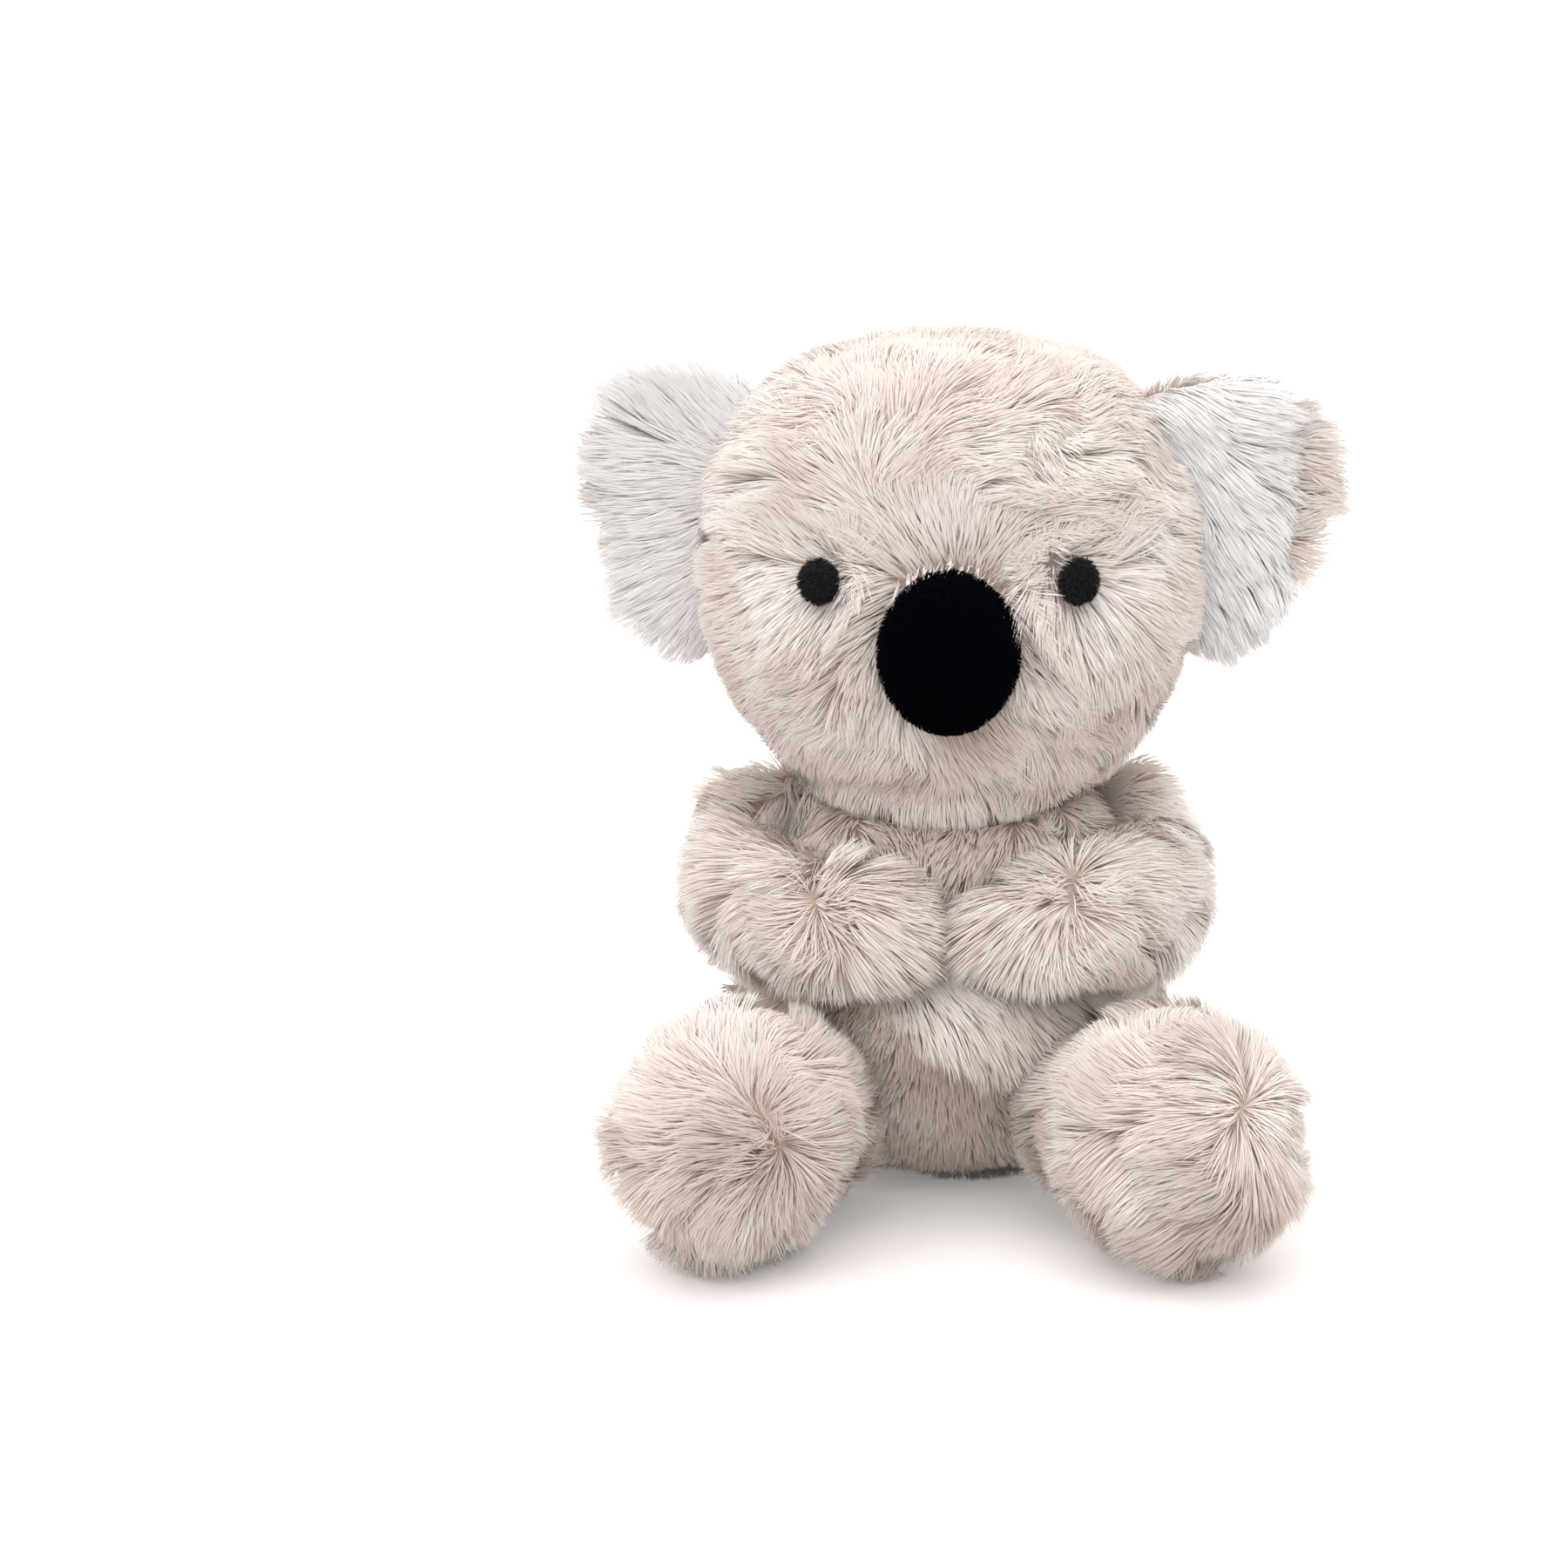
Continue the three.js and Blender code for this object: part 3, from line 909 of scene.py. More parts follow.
@dataclass(frozen=True)
class BrushedPile:
    """The brushed and sheared fibres of a plush or a nap, deepest in tone at their roots.

    The eye sees the pale tips, and the darker roots only where the pile parts.

    Attributes:
        name: The material's name.
        warm: Colours of the warmest fibres, from root to tip.
        frosted: Colours of the palest ones.
        stops: Where the colours lie along a fibre, from 0 to 1.
        roughness: Of the fibres.
        specular: Strength of their gloss.
    """

    name: str
    warm: tuple[str, str, str, str]
    frosted: tuple[str, str, str, str]
    stops: tuple[float, float, float, float] = (0.0, 0.16, 0.4, 1.0)
    roughness: float = 0.9
    specular: float = 0.25

    def make(self) -> Material:
        """Builds the material; its colour depends only on the pile's own map."""
        finish, tree = new_finish(self.name)
        place = add_node(tree, "ShaderNodeUVMap", uv_map=BAKE_MAP)
        split = add_node(tree, "ShaderNodeSeparateXYZ", links={0: place.outputs[0]})
        ramps = []
        for colours in (self.warm, self.frosted):
            ramp = add_node(tree, "ShaderNodeValToRGB", links={0: split.outputs["Y"]})
            set_ramp(ramp.color_ramp, list(zip(self.stops, colours)))
            ramps.append(ramp.outputs["Color"])
        mix = add_node(
            tree, "ShaderNodeMix", data_type="RGBA",
            links={0: split.outputs["X"], 6: ramps[0], 7: ramps[1]},
        )
        shader = add_node(
            tree, "ShaderNodeBsdfPrincipled",
            values={"Roughness": self.roughness, "Specular IOR Level": self.specular},
            links={"Base Color": mix.outputs[2]},
        )
        add_node(tree, "ShaderNodeOutputMaterial", links={0: shader.outputs[0]})
        return finish


@dataclass(frozen=True)
class KnittedBacking:
    """Polyester weft knit that holds the pile.

    It gives the eye a dull, softly ribbed ground in the tone of the pile's roots.

    Attributes:
        name: The material's name.
        face: Colour on the ribs.
        groove: Colour between them.
        rib: Width of a rib of a few wales, in millimetres.
        stitch: Height of the stitches, in millimetres.
        WAVE_RATE: Radians by which Blender's wave texture moves on in one unit.
    """

    name: str
    face: str
    groove: str
    rib: float = 6.9
    stitch: float = 0.3

    WAVE_RATE = 20.0

    def make(self) -> Material:
        """Builds the material."""
        finish, tree = new_finish(self.name)
        place = add_node(tree, "ShaderNodeTexCoord")
        wave = add_node(
            tree, "ShaderNodeTexWave", wave_type="BANDS", bands_direction="X",
            values={
                "Scale": 2 * math.pi / (self.WAVE_RATE * self.rib * METRES),
                "Distortion": 1.5, "Detail": 2.0,
            },
            links={"Vector": place.outputs["Object"]},
        )
        ramp = add_node(tree, "ShaderNodeValToRGB", links={0: wave.outputs["Color"]})
        set_ramp(ramp.color_ramp, [(0.0, self.groove), (1.0, self.face)])
        bump = add_node(
            tree, "ShaderNodeBump", values={"Strength": 0.4, "Distance": self.stitch * METRES},
            links={"Height": wave.outputs["Fac"]},
        )
        shader = add_node(
            tree, "ShaderNodeBsdfPrincipled",
            values={"Roughness": 0.95, "Specular IOR Level": 0.2},
            links={"Base Color": ramp.outputs["Color"], "Normal": bump.outputs[0]},
        )
        add_node(tree, "ShaderNodeOutputMaterial", links={0: shader.outputs[0]})
        return finish


@dataclass(frozen=True)
class GrainedFinish:
    """A cloth, felt, wadding or moulded plastic whose colour and height vary with a fine grain.

    Attributes:
        name: The material's name.
        low: Colour in the hollows of the grain.
        high: Colour on its tops.
        grain: Width of one grain, in millimetres.
        height: Height of the grain, in millimetres.
        roughness: Of the surface.
        specular: Strength of its gloss.
    """

    name: str
    low: str
    high: str
    grain: float
    height: float
    roughness: float
    specular: float

    def make(self) -> Material:
        """Builds the material."""
        finish, tree = new_finish(self.name)
        place = add_node(tree, "ShaderNodeTexCoord")
        noise = add_node(
            tree, "ShaderNodeTexNoise",
            values={"Scale": 0.5 / (self.grain * METRES), "Detail": 5.0, "Roughness": 0.6},
            links={"Vector": place.outputs["Object"]},
        )
        ramp = add_node(tree, "ShaderNodeValToRGB", links={0: noise.outputs["Fac"]})
        set_ramp(ramp.color_ramp, [(0.3, self.low), (0.7, self.high)])
        bump = add_node(
            tree, "ShaderNodeBump", values={"Strength": 0.6, "Distance": self.height * METRES},
            links={"Height": noise.outputs["Fac"]},
        )
        shader = add_node(
            tree, "ShaderNodeBsdfPrincipled",
            values={"Roughness": self.roughness, "Specular IOR Level": self.specular},
            links={"Base Color": ramp.outputs["Color"], "Normal": bump.outputs[0]},
        )
        add_node(tree, "ShaderNodeOutputMaterial", links={0: shader.outputs[0]})
        return finish


Plush = tuple[Material, Material]


@dataclass
class Wardrobe:
    """Every finish of the toy, made once. A plush is a cloth and the pile on it."""

    cream: Plush = field(init=False)
    white: Plush = field(init=False)
    velour: Plush = field(init=False)
    felt: Plush = field(init=False)
    fill: Material = field(init=False)
    plastic: Material = field(init=False)
    reed: Material = field(init=False)

    def __post_init__(self) -> None:
        """Makes the finishes."""
        # Warm beige plush whose tips are frosted nearly white
        self.cream = (
            KnittedBacking("polyester_knit_beige", "#D2C2B6", "#B9A698").make(),
            BrushedPile(
                "acrylic_pile_cream",
                warm=("#CBB1A2", "#DFCCC1", "#E8DACF", "#EDE1D8"),
                frosted=("#E0D0C6", "#F5EBE4", "#FCF5F1", "#FEFAF6"),
            ).make(),
        )
        # Cool white plush of the ears, grey only in its depth
        self.white = (
            KnittedBacking("polyester_knit_white", "#D8D3D1", "#B7B0AD").make(),
            BrushedPile(
                "acrylic_pile_white",
                warm=("#DCD2CC", "#EEE9E6", "#F9F6F5", "#FEFCFB"),
                frosted=("#E6DFDB", "#F6F2F0", "#FEFCFB", "#FFFFFF"),
            ).make(),
        )
        # Velour so dark and matt that the nose reads as one black oval
        self.velour = (
            GrainedFinish(
                "polyester_velour_black", low="#000002", high="#030309", grain=0.5, height=0.1,
                roughness=0.9, specular=0.03,
            ).make(),
            BrushedPile(
                "velour_pile_black",
                warm=("#000001", "#000002", "#010104", "#020206"),
                frosted=("#000002", "#010104", "#030308", "#05050D"), specular=0.03,
            ).make(),
        )
        # Charcoal felt with a fuzzy face, a little paler than the nose
        self.felt = (
            GrainedFinish(
                "wool_felt_charcoal", low="#161616", high="#2B2B2B", grain=0.6, height=0.3,
                roughness=0.95, specular=0.1,
            ).make(),
            BrushedPile(
                "felt_fibres_charcoal",
                warm=("#101010", "#161616", "#1D1D1D", "#262626"),
                frosted=("#141414", "#1C1C1C", "#262626", "#303030"), specular=0.05,
            ).make(),
        )
        # Off-white wadding, soft and without gloss
        self.fill = GrainedFinish(
            "polyester_wadding", low="#DCDAD4", high="#F7F6F2", grain=2.5, height=1.0,
            roughness=1.0, specular=0.1,
        ).make()
        # Milky plastic with a satin skin
        self.plastic = GrainedFinish(
            "blow_moulded_polyethylene", low="#DEDEDA", high="#ECECE8", grain=1.5, height=0.02,
            roughness=0.4, specular=0.5,
        ).make()
        # Blue-grey plastic, smoother than the rest of the squeaker
        self.reed = GrainedFinish(
            "moulded_polystyrene", low="#AAB7C0", high="#C2CDD5", grain=1.2, height=0.01,
            roughness=0.3, specular=0.5,
        ).make()


# Covers, and what moves them


Hold = Callable[[Piece], None]


def riding(body: str) -> Hold:
    """A hold that lets a piece ride with a body."""
    return lambda piece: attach(piece, body)


def bending(start: Array, end: Array) -> Hold:
    """A hold that bakes a piece's place into its mesh; the start and the end are not used."""
    start, end = tuple(start * METRES), tuple(end * METRES)
    return lambda piece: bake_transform(piece)


@dataclass(frozen=True)
class Cover:
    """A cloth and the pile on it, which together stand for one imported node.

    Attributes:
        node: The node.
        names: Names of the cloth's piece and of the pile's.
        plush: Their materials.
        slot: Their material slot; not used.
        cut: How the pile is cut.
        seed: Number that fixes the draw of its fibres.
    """

    node: str
    names: tuple[str, str]
    plush: Plush
    slot: Slot
    cut: PileCut
    seed: int

    def dress(self, skin: Skin, brush: Brush, neighbours: Sequence[BVHTree],
              hold: Hold) -> list[Piece]:
        """Makes both pieces.

        Args:
            skin: The cloth's surface.
            brush: Gives the pile's lay at points with their normals.
            neighbours: Surfaces of the pieces beside it, which press the pile flat.
            hold: Ties a piece to what moves it.

        Returns:
            The cloth and the pile.
        """
        cloth = new_piece(self.names[0], skin.points, skin.triangles)
        cloth.data.materials.append(self.plush[0])
        pile = Pile(self.names[1], skin, self.cut, brush, neighbours, self.plush[1], self.seed)
        for piece in (cloth, pile.piece):
            hold(piece)
            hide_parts(self.node)
        return [cloth, pile.piece]


# Sub-assemblies


@dataclass
class Torso:
    """The body, a pear that is fullest low down in front, with a round hollow for the head."""

    form: Plump = Plump(
        half_width=48, half_height=52, front=37, back=38, low_square=0.68, high_square=0.9,
        taper=0.23, swell=0.1, swell_height=-0.25, swell_spread=0.5)
    pile: float = 6.5
    seat_cut: float = 0.5
    neck_gap: float = 0.5
    neck_inset: float = 1.0
    shoulder_rise: float = 3.0
    shoulder_shares: tuple[float, float] = (0.35, 0.75)
    belly_swell: float = 0.38
    belly_height_share: float = -0.05
    belly_spread_share: float = 0.3
    chest: float = 6.0
    chest_height: float = 82.0
    chest_spread: float = 12.0
    chest_depth: float = 15.0
    rings: int = 72
    sides: int = 96
    cut: PileCut = PileCut(length=13.0, per_square=3.7, root_lean=36, tip_lean=79)
    skin: Skin = field(init=False)

    SEED = 101
    LAY_SEEDS = (11, 12)

    # How the lay falls, spreads and wanders, beside the strokes
    FALL = 0.9
    OUTWARD = (0.02, 0.008, 0.0)
    WANDER = Wander(broad=0.5)
    BACK_CALM = 0.7

    # The fringe over the lap, the arms, the front and the chest's hollow, in millimetres
    FRINGE_HEIGHT = 47.0
    FRINGE_SLOPE = 0.5
    FRINGE_FADE = 5.0
    ARMS_HEIGHT = 66.0
    ARMS_FADE = 6.0
    FRONT_DEPTH = 12.0
    HOLLOW_WIDTH = 16.0

    # Shares by which the length and the lean change there, and the painted light that makes the fringe
    # paler
    FRINGE_LONGER = 0.5
    FRINGE_RAISED = 0.25
    FRINGE_FROST = 0.35
    LAP_SHORTER = 0.6
    HOLLOW_SHORTER = 0.45
    HOLLOW_RAISED = 0.4

    COMBING = Combing((
        (-25, 91, -80), (-15, 85, -50), (-8, 82, -62), (0, 77, -80), (15, 84, 215), (7, 76, 245),
        (-21, 52, -85), (-15, 50, -80), (-8, 53, -60), (0, 57, -42), (7, 50, -50), (15, 54, -40),
        (23, 46, -60), (15, 39, -70), (26, 43, -78), (33, 50, -68), (-8, 40, -75), (0, 34, -88),
    ))

    @property
    def middle(self) -> float:
        """Height of the form's centre over the floor."""
        return self.form.half_height - self.seat_cut

    @property
    def top(self) -> float:
        """Height of the form's high pole, before the neck is hollowed."""
        return self.middle + self.form.half_height

    def at(self, height: float, angle: float) -> Array:
        """Point of the outside at a height, the angle running from +X towards the front."""
        share = (height - self.middle) / self.form.half_height
        point = self.form.point(share, -angle)
        point[2] = height
        return point

    def outward(self, angle: float) -> Array:
        """Level direction straight out of the outside at an angle."""
        across = math.cos(angle) / self.form.half_width
        return unit(np.array([across, -math.sin(angle) / self.form.front, 0]))

    def shape(self, head: "Head") -> None:
        """Makes the backing's surface, with the hollow in which the head turns."""
        bulging = replace(
            self.form, swell=self.belly_swell, swell_height=self.belly_height_share,
            swell_spread=self.belly_spread_share)
        skin = bulging.skin(self.inset, self.rings, self.sides)
        skin.points[:, 2] += self.middle
        rise = np.exp(-(((skin.points[:, 2] - self.chest_height) / self.chest_spread) ** 2))
        skin.points[:, 1] -= self.chest * rise * fade(-skin.points[:, 1], 0, self.chest_depth)
        centre = head.centre(self)
        reach = head.neck_reach() + self.neck_gap + self.neck_inset
        level = np.linalg.norm(skin.points[:, :2] - centre[:2], axis=1)
        drop = np.sqrt(np.maximum(0, reach**2 - level**2))
        ceiling = np.where(level < reach, centre[2] - drop, np.inf)
        inside = skin.points[:, 2] > ceiling
        skin.points[:, 2] = np.where(inside, ceiling, skin.points[:, 2])
        self.skin = skin

    def inset(self, height: Array) -> Array:
        """Depth of the backing under the outside, less towards the shoulders and the neck."""
        rise = fade(height, *self.shoulder_shares)
        return self.pile * (1 - rise) - self.shoulder_rise * rise

    def brush(self, points: Array, normals: Array) -> Brushing:
        """Pile that hangs down and outwards, long in a fringe over the lap and short under it."""
        across, height = points[:, 0], points[:, 2]
        edge = self.FRINGE_HEIGHT - self.FRINGE_SLOPE * across
        above = np.clip((height - edge) / self.FRINGE_FADE, -1, 1)
        lap = np.maximum(0, -above)
        belly = height < self.ARMS_HEIGHT
        fringe = np.maximum(0, above) * belly
        front = fade(-points[:, 1], 0, self.FRONT_DEPTH)
        away = points * np.array(self.OUTWARD) - self.FALL * UP
        calm = 1 - front * lap - self.BACK_CALM * facing_back(normals)
        own = self.COMBING.at(points, normals) + self.WANDER.at(points, *self.LAY_SEEDS)
        lay = away + calm[:, None] * own
        longer = np.where(above > 0, self.FRINGE_LONGER * belly, self.LAP_SHORTER * above)
        tall = (height - self.chest_height) / self.chest_spread
        hollow = np.exp(-((across / self.HOLLOW_WIDTH) ** 2) - tall**2)
        length = (1 + front * longer) * (1 - self.HOLLOW_SHORTER * front * hollow)
        lean = 1 - self.FRINGE_RAISED * front * (above > 0) * belly
        lean *= 1 - self.HOLLOW_RAISED * front * np.maximum(hollow, lap)
        chest = fade(height, self.ARMS_HEIGHT, self.ARMS_HEIGHT + self.ARMS_FADE)
        # Painted light and shade: the lit fringe is painted paler, and the shaded lap and the front of
        # the chest above the arms are painted darker
        frost = front * (self.FRINGE_FROST * fringe - lap - chest)
        return Brushing(along_skin(lay, normals), length, lean, frost)

    def dress(self, wardrobe: Wardrobe, neighbours: Sequence[BVHTree]) -> list[Piece]:
        """Makes the backing and its pile."""
        cover = Cover("torso_cover", ("torso_backing", "torso_pile"), wardrobe.cream,
                      Slot.CREAM, self.cut, self.SEED)
        pieces = cover.dress(self.skin, self.brush, neighbours, riding("torso"))
        return pieces


@dataclass
class Head:
    """The head, a broad ball with a flat crown and a low soft muzzle."""

    form: Plump = Plump(
        half_width=55, half_height=52.5, front=45, back=46, low_square=0.85, high_square=0.45,
        taper=0.03, swell=0.08, swell_height=-0.2, swell_spread=0.45)
    pile: float = 6.5
    forward: float = 6.0
    neck_sink: float = 17.0
    neck_rim_share: float = 0.88
    neck_inset: float = 1.0
    neck_shares: tuple[float, float] = (0.8, 0.92)
    rings: int = 72
    sides: int = 104
    cut: PileCut = PileCut(length=12.3, per_square=4.4, root_lean=36, tip_lean=79)
    middle: Array = field(init=False)
    skin: Skin = field(init=False)

    def centre(self, torso: Torso) -> Array:
        """The form's centre."""
        return np.array([0, -self.forward, torso.top + self.form.half_height - self.neck_sink])

    def neck_reach(self) -> float:
        """Distance from the centre to the farthest outside of the part in the neck."""
        side = self.form.point(-self.neck_rim_share, 0.0)
        return max(self.form.half_height, float(np.linalg.norm(side)))

    def shape(self, torso: Torso) -> None:
        """Makes the backing's surface."""
        self.middle = self.centre(torso)
        self.skin = self.form.skin(self.inset, self.rings, self.sides)
        self.skin.points += self.middle

    def inset(self, height: Array) -> Array:
        """Depth of the backing under the outside, least where the head sits in the neck."""
        bare = fade(-height, *self.neck_shares)
        return self.pile + (self.neck_inset - self.pile) * bare

    def place(self, across: float, above: float, depth: float, level: bool) -> tuple[Array, Array]:
        """Where a small piece sits on the outside.

        Args:
            across: Distance to the side.
            above: Height over the head's centre.
            depth: How far it is sunk.
            level: Whether it faces straight ahead, and not square to the outside.

        Returns:
            The spot, and the frame's three directions as columns, the last one outward.
        """
        form = self.form
        height = above / form.half_height
        share = across / (form.half_width * float(form.breadth(np.array(height))))
        point = form.point(height, -math.acos(share))
        sizes = np.array([form.half_width, form.front, form.half_height])
        outward = point / sizes**2
        if level:
            outward[2] = 0
        outward = unit(outward)
        right = unit(np.cross(UP, outward))
        axes = np.stack([right, np.cross(outward, right), outward], axis=1)
        return point - outward * depth + self.middle, axes


@dataclass(frozen=True)
class Clearing:
    """An oval spot that the pile keeps clear of, which is the nose or an eye.

    Attributes:
        spot: Its middle.
        axes: Its directions as columns, the last one outward.
        half_wide: Half its width.
        half_tall: Half its height.
        hold: How firmly the pile lies away from it.
        over: Length of the stray fibres over its upper rim, as a share of the cut's.
    """

    spot: Array
    axes: Array
    half_wide: float
    half_tall: float
    hold: float
    over: float

    # Distances in millimetres: how far behind it works, where it holds most and how far round
    BEHIND = 20.0
    FIRMEST = 3.0
    FIRM_WIDTH = 4.0

    # Pile that lies towards the spot, and how near it is shortened
    TOWARDS_SHORTER = 0.7
    TOWARDS_FADE = (12.0, 2.0)

    # Shares of length and lean under the spot and at its rim, and the distance to grow by one
    EDGE = 0.5
    UNDER_LENGTH = 0.4
    UNDER_LEAN = 0.2
    RIM_LENGTH = 0.68
    RIM_LEAN = 0.7
    LENGTH_FADE = 16.0
    LEAN_FADE = 20.0

    # Stray fibres: how far off the rim they start, how rare they are, and how they lean
    STRAY_RIM = 2.0
    STRAY_OVER = 0.55
    STRAY_LEAN = 0.6
    STRAY_SEED = 77
    STRAY_GRAIN = 1.6

    def part(self, points: Array, lay: Array, length: Array,
             lean: Array) -> tuple[Array, Array, Array]:
        """Brushes the pile away from the spot, shorter and more upright the nearer it is.

        Args:
            points: The roots.
            lay: The lay before.
            length: Shares of the length before.
            lean: Shares of the lean before.

        Returns:
            The lay and the shares after it.
        """
        offset = points - self.spot
        across, above = offset @ self.axes[:, 0], offset @ self.axes[:, 1]
        ahead = offset @ self.axes[:, 2] > -self.BEHIND
        away = np.hypot(across / self.half_wide, above / self.half_tall)
        gap = np.where(ahead, (away - 1) * (self.half_wide + self.half_tall) / 2, np.inf)
        out = unit(across[:, None] * self.axes[:, 0] + above[:, None] * self.axes[:, 1])
        firm = self.hold * np.exp(-(((gap - self.FIRMEST) / self.FIRM_WIDTH) ** 2))
        lay = lay + out * np.where(ahead, firm, 0)[:, None]
        towards = np.clip(-(unit(lay) * out).sum(1), 0, 1)
        length = length * (1 - self.TOWARDS_SHORTER * towards * fade(gap, *self.TOWARDS_FADE))
        under = gap < -self.EDGE
        rim_length = np.clip(self.RIM_LENGTH + gap / self.LENGTH_FADE, 0, 1)
        rim_lean = np.clip(self.RIM_LEAN + gap / self.LEAN_FADE, 0, 1)
        length = length * np.where(under, self.UNDER_LENGTH, rim_length)
        lean = lean * np.where(under, self.UNDER_LEAN, rim_lean)
        upper = across + 2 * above > self.half_wide
        rim = (gap > -self.EDGE) & (gap < self.STRAY_RIM) & upper
        stray = rim & (Ripple(self.STRAY_SEED, self.STRAY_GRAIN).at(points) > self.STRAY_OVER)
        lay = np.where(stray[:, None], -out, lay)
        length = np.where(stray, self.over, length)
        return lay, length, np.where(stray, self.STRAY_LEAN, lean)


@dataclass
class Face:
    """The nose, a padded oval of velour, and the eyes, two domed felt discs."""

    head: Head
    nose_form: Plump = Plump(
        half_width=14.6, half_height=8.5, front=17, back=17, low_square=0.6, high_square=0.6)
    nose_sink: float = 2.4
    nose_below: float = 6.6
    nose_cut: PileCut = PileCut(
        length=1.1, per_square=9, width=0.16, root_lean=10, tip_lean=50, tuft=1.2, lock=5,
        tuft_pull=0.3, lock_pull=0.05, lock_stray=0.2, crimp=0.1)
    eye_form: Plump = Plump(
        half_width=3.8, half_height=2.6, front=4.3, back=4.3, low_square=0.6, high_square=0.6)
    eye_sink: float = 1.2
    eyes_apart: float = 56.0
    eye_above: float = 7.2
    eye_cut: PileCut = PileCut(
        length=1.3, per_square=14, width=0.16, root_lean=10, tip_lean=60, tuft=0.8, lock=3,
        tuft_pull=0.3, lock_pull=0.05, lock_stray=0.4, crimp=0.25)
    rings: int = 32
    sides: int = 72

    HEAD_SEED = 202
    NOSE_SEED = 301
    EYE_SEED = 310
    LAY_SEEDS = (21, 22)

    # How the lay falls, spreads and wanders, beside the strokes
    FALL = 0.45
    NAP_FALL = 0.5
    OUTWARD = (0.012, 0.016, 0.0)
    WANDER = Wander()
    BACK_CALM = 0.7

    # The crown's pile lies to the back and flatter, and painted shade makes it warmer and darker
    CROWN_START = 0.35
    CROWN_BACK = 1.6
    CROWN_FLATTER = 0.15
    CROWN_WARMER = 1.0

    # Frost over the eyes, and the height on either side of the middle where it comes
    FROST = 0.3
    FROST_FADE = 10.0

    COMBING = Combing((
        (-44, 178, 205), (40, 170, -60), (21, 168, -3), (29, 168, -3), (8, 165, -5), (0, 166, 15),
        (-9, 168, 60), (-15, 167, 80), (-23, 166, 130), (-33, 168, 175), (-44, 168, 205),
        (-48, 160, 205), (-40, 160, 190), (-34, 156, 178), (-26, 157, 170), (-38, 147, 190),
        (-46, 148, 188), (-43, 139, 183), (-49, 132, 200), (-33, 133, 225), (-38, 123, 215),
        (-26, 129, 250), (-46, 120, 225), (-18, 146, 250), (-21, 137, 255), (-18, 121, 250),
        (-19, 105, 250), (-10, 100, 265), (0, 97, 270), (6, 98, 275), (14, 101, 280),
        (-29, 112, 235), (-38, 108, 230), (18, 137, -82), (25, 129, -75), (32, 132, -82),
        (39, 136, -60), (47, 125, -50), (44, 143, -50), (50, 134, -60), (36, 115, -75),
        (44, 112, -55), (25, 108, -85), (25, 155, 10), (33, 157, 12), (40, 157, 8),
        (40, 150, -5), (41, 145, -25), (-5, 157, 95), (3, 156, 80), (10, 154, 50),
        (-11, 154, 120), (-2, 161, 60), (10, 161, 20), (21, 162, 5), (-12, 176, 60),
        (6, 178, 30), (46, 160, -80), (50, 150, -80), (45, 175, -60),
    ), reach=7.0)

    def nose_place(self) -> tuple[Array, Array]:
        """The nose's spot and directions."""
        return self.head.place(0, -self.nose_below, self.nose_sink, True)

    def eye_place(self, side: Side) -> tuple[Array, Array]:
        """An eye's spot and directions."""
        return self.head.place(side.value * self.eyes_apart / 2, self.eye_above, self.eye_sink, False)

    def brush(self, points: Array, normals: Array) -> Brushing:
        """The head's pile: it lies away from the nose, the eyes and the brow, and falls behind."""
        offset = points - self.head.middle
        fall = offset * np.array(self.OUTWARD) - self.FALL * UP
        fall[:, 1] += self.CROWN_BACK * np.clip(normals[:, 2] - self.CROWN_START, 0, 1)
        calm = 1 - self.BACK_CALM * facing_back(normals)[:, None]
        lay = fall + self.COMBING.at(points, normals)
        lay += calm * self.WANDER.at(points, *self.LAY_SEEDS)
        crown = facing_up(normals)
        length, lean = np.ones(len(points)), 1 + self.CROWN_FLATTER * crown
        for clearing in self.clearings():
            lay, length, lean = clearing.part(points, lay, length, lean)
        frost = self.FROST * fade(offset[:, 2], -self.FROST_FADE, self.FROST_FADE)
        # Painted shade: the pile that faces up is made warmer and darker
        frost -= self.CROWN_WARMER * crown
        return Brushing(along_skin(lay, normals), length, lean, frost)

    def clearings(self) -> list[Clearing]:
        """The spots that the pile keeps clear of."""
        nose, eye = self.nose_form, self.eye_form
        spots = [Clearing(*self.nose_place(), nose.half_width, nose.back, hold=2.5, over=1.0)]
        for side in Side:
            place = self.eye_place(side)
            spots.append(Clearing(*place, eye.half_width, eye.back, hold=2.2, over=0.4))
        return spots

    def dress_head(self, wardrobe: Wardrobe, neighbours: Sequence[BVHTree]) -> list[Piece]:
        """Makes the head's backing and pile."""
        cover = Cover("head_cover", ("head_backing", "head_pile"), wardrobe.cream,
                      Slot.CREAM, self.head.cut, self.HEAD_SEED)
        pieces = cover.dress(self.head.skin, self.brush, neighbours, riding("head"))
        return pieces

    def dress_feature(self, cover: Cover, form: Plump,
                      place: tuple[Array, Array]) -> list[Piece]:
        """Makes one small domed piece with its short nap.

        Args:
            cover: What it is made of.
            form: Its form, with its axis outward.
            place: Its spot and directions.

        Returns:
            The cloth and the nap.
        """
        spot, axes = place
        skin = form.skin(np.zeros_like, self.rings, self.sides)
        skin.points = skin.points @ axes.T + spot

        def brush(points: Array, normals: Array) -> Brushing:
            """A nap that lies outwards from the middle of the piece and a little down."""
            lay = unit(points - spot) - self.NAP_FALL * UP
            shares = np.ones(len(points))
            return Brushing(along_skin(lay, normals), shares, shares)

        return cover.dress(skin, brush, [], riding("head"))

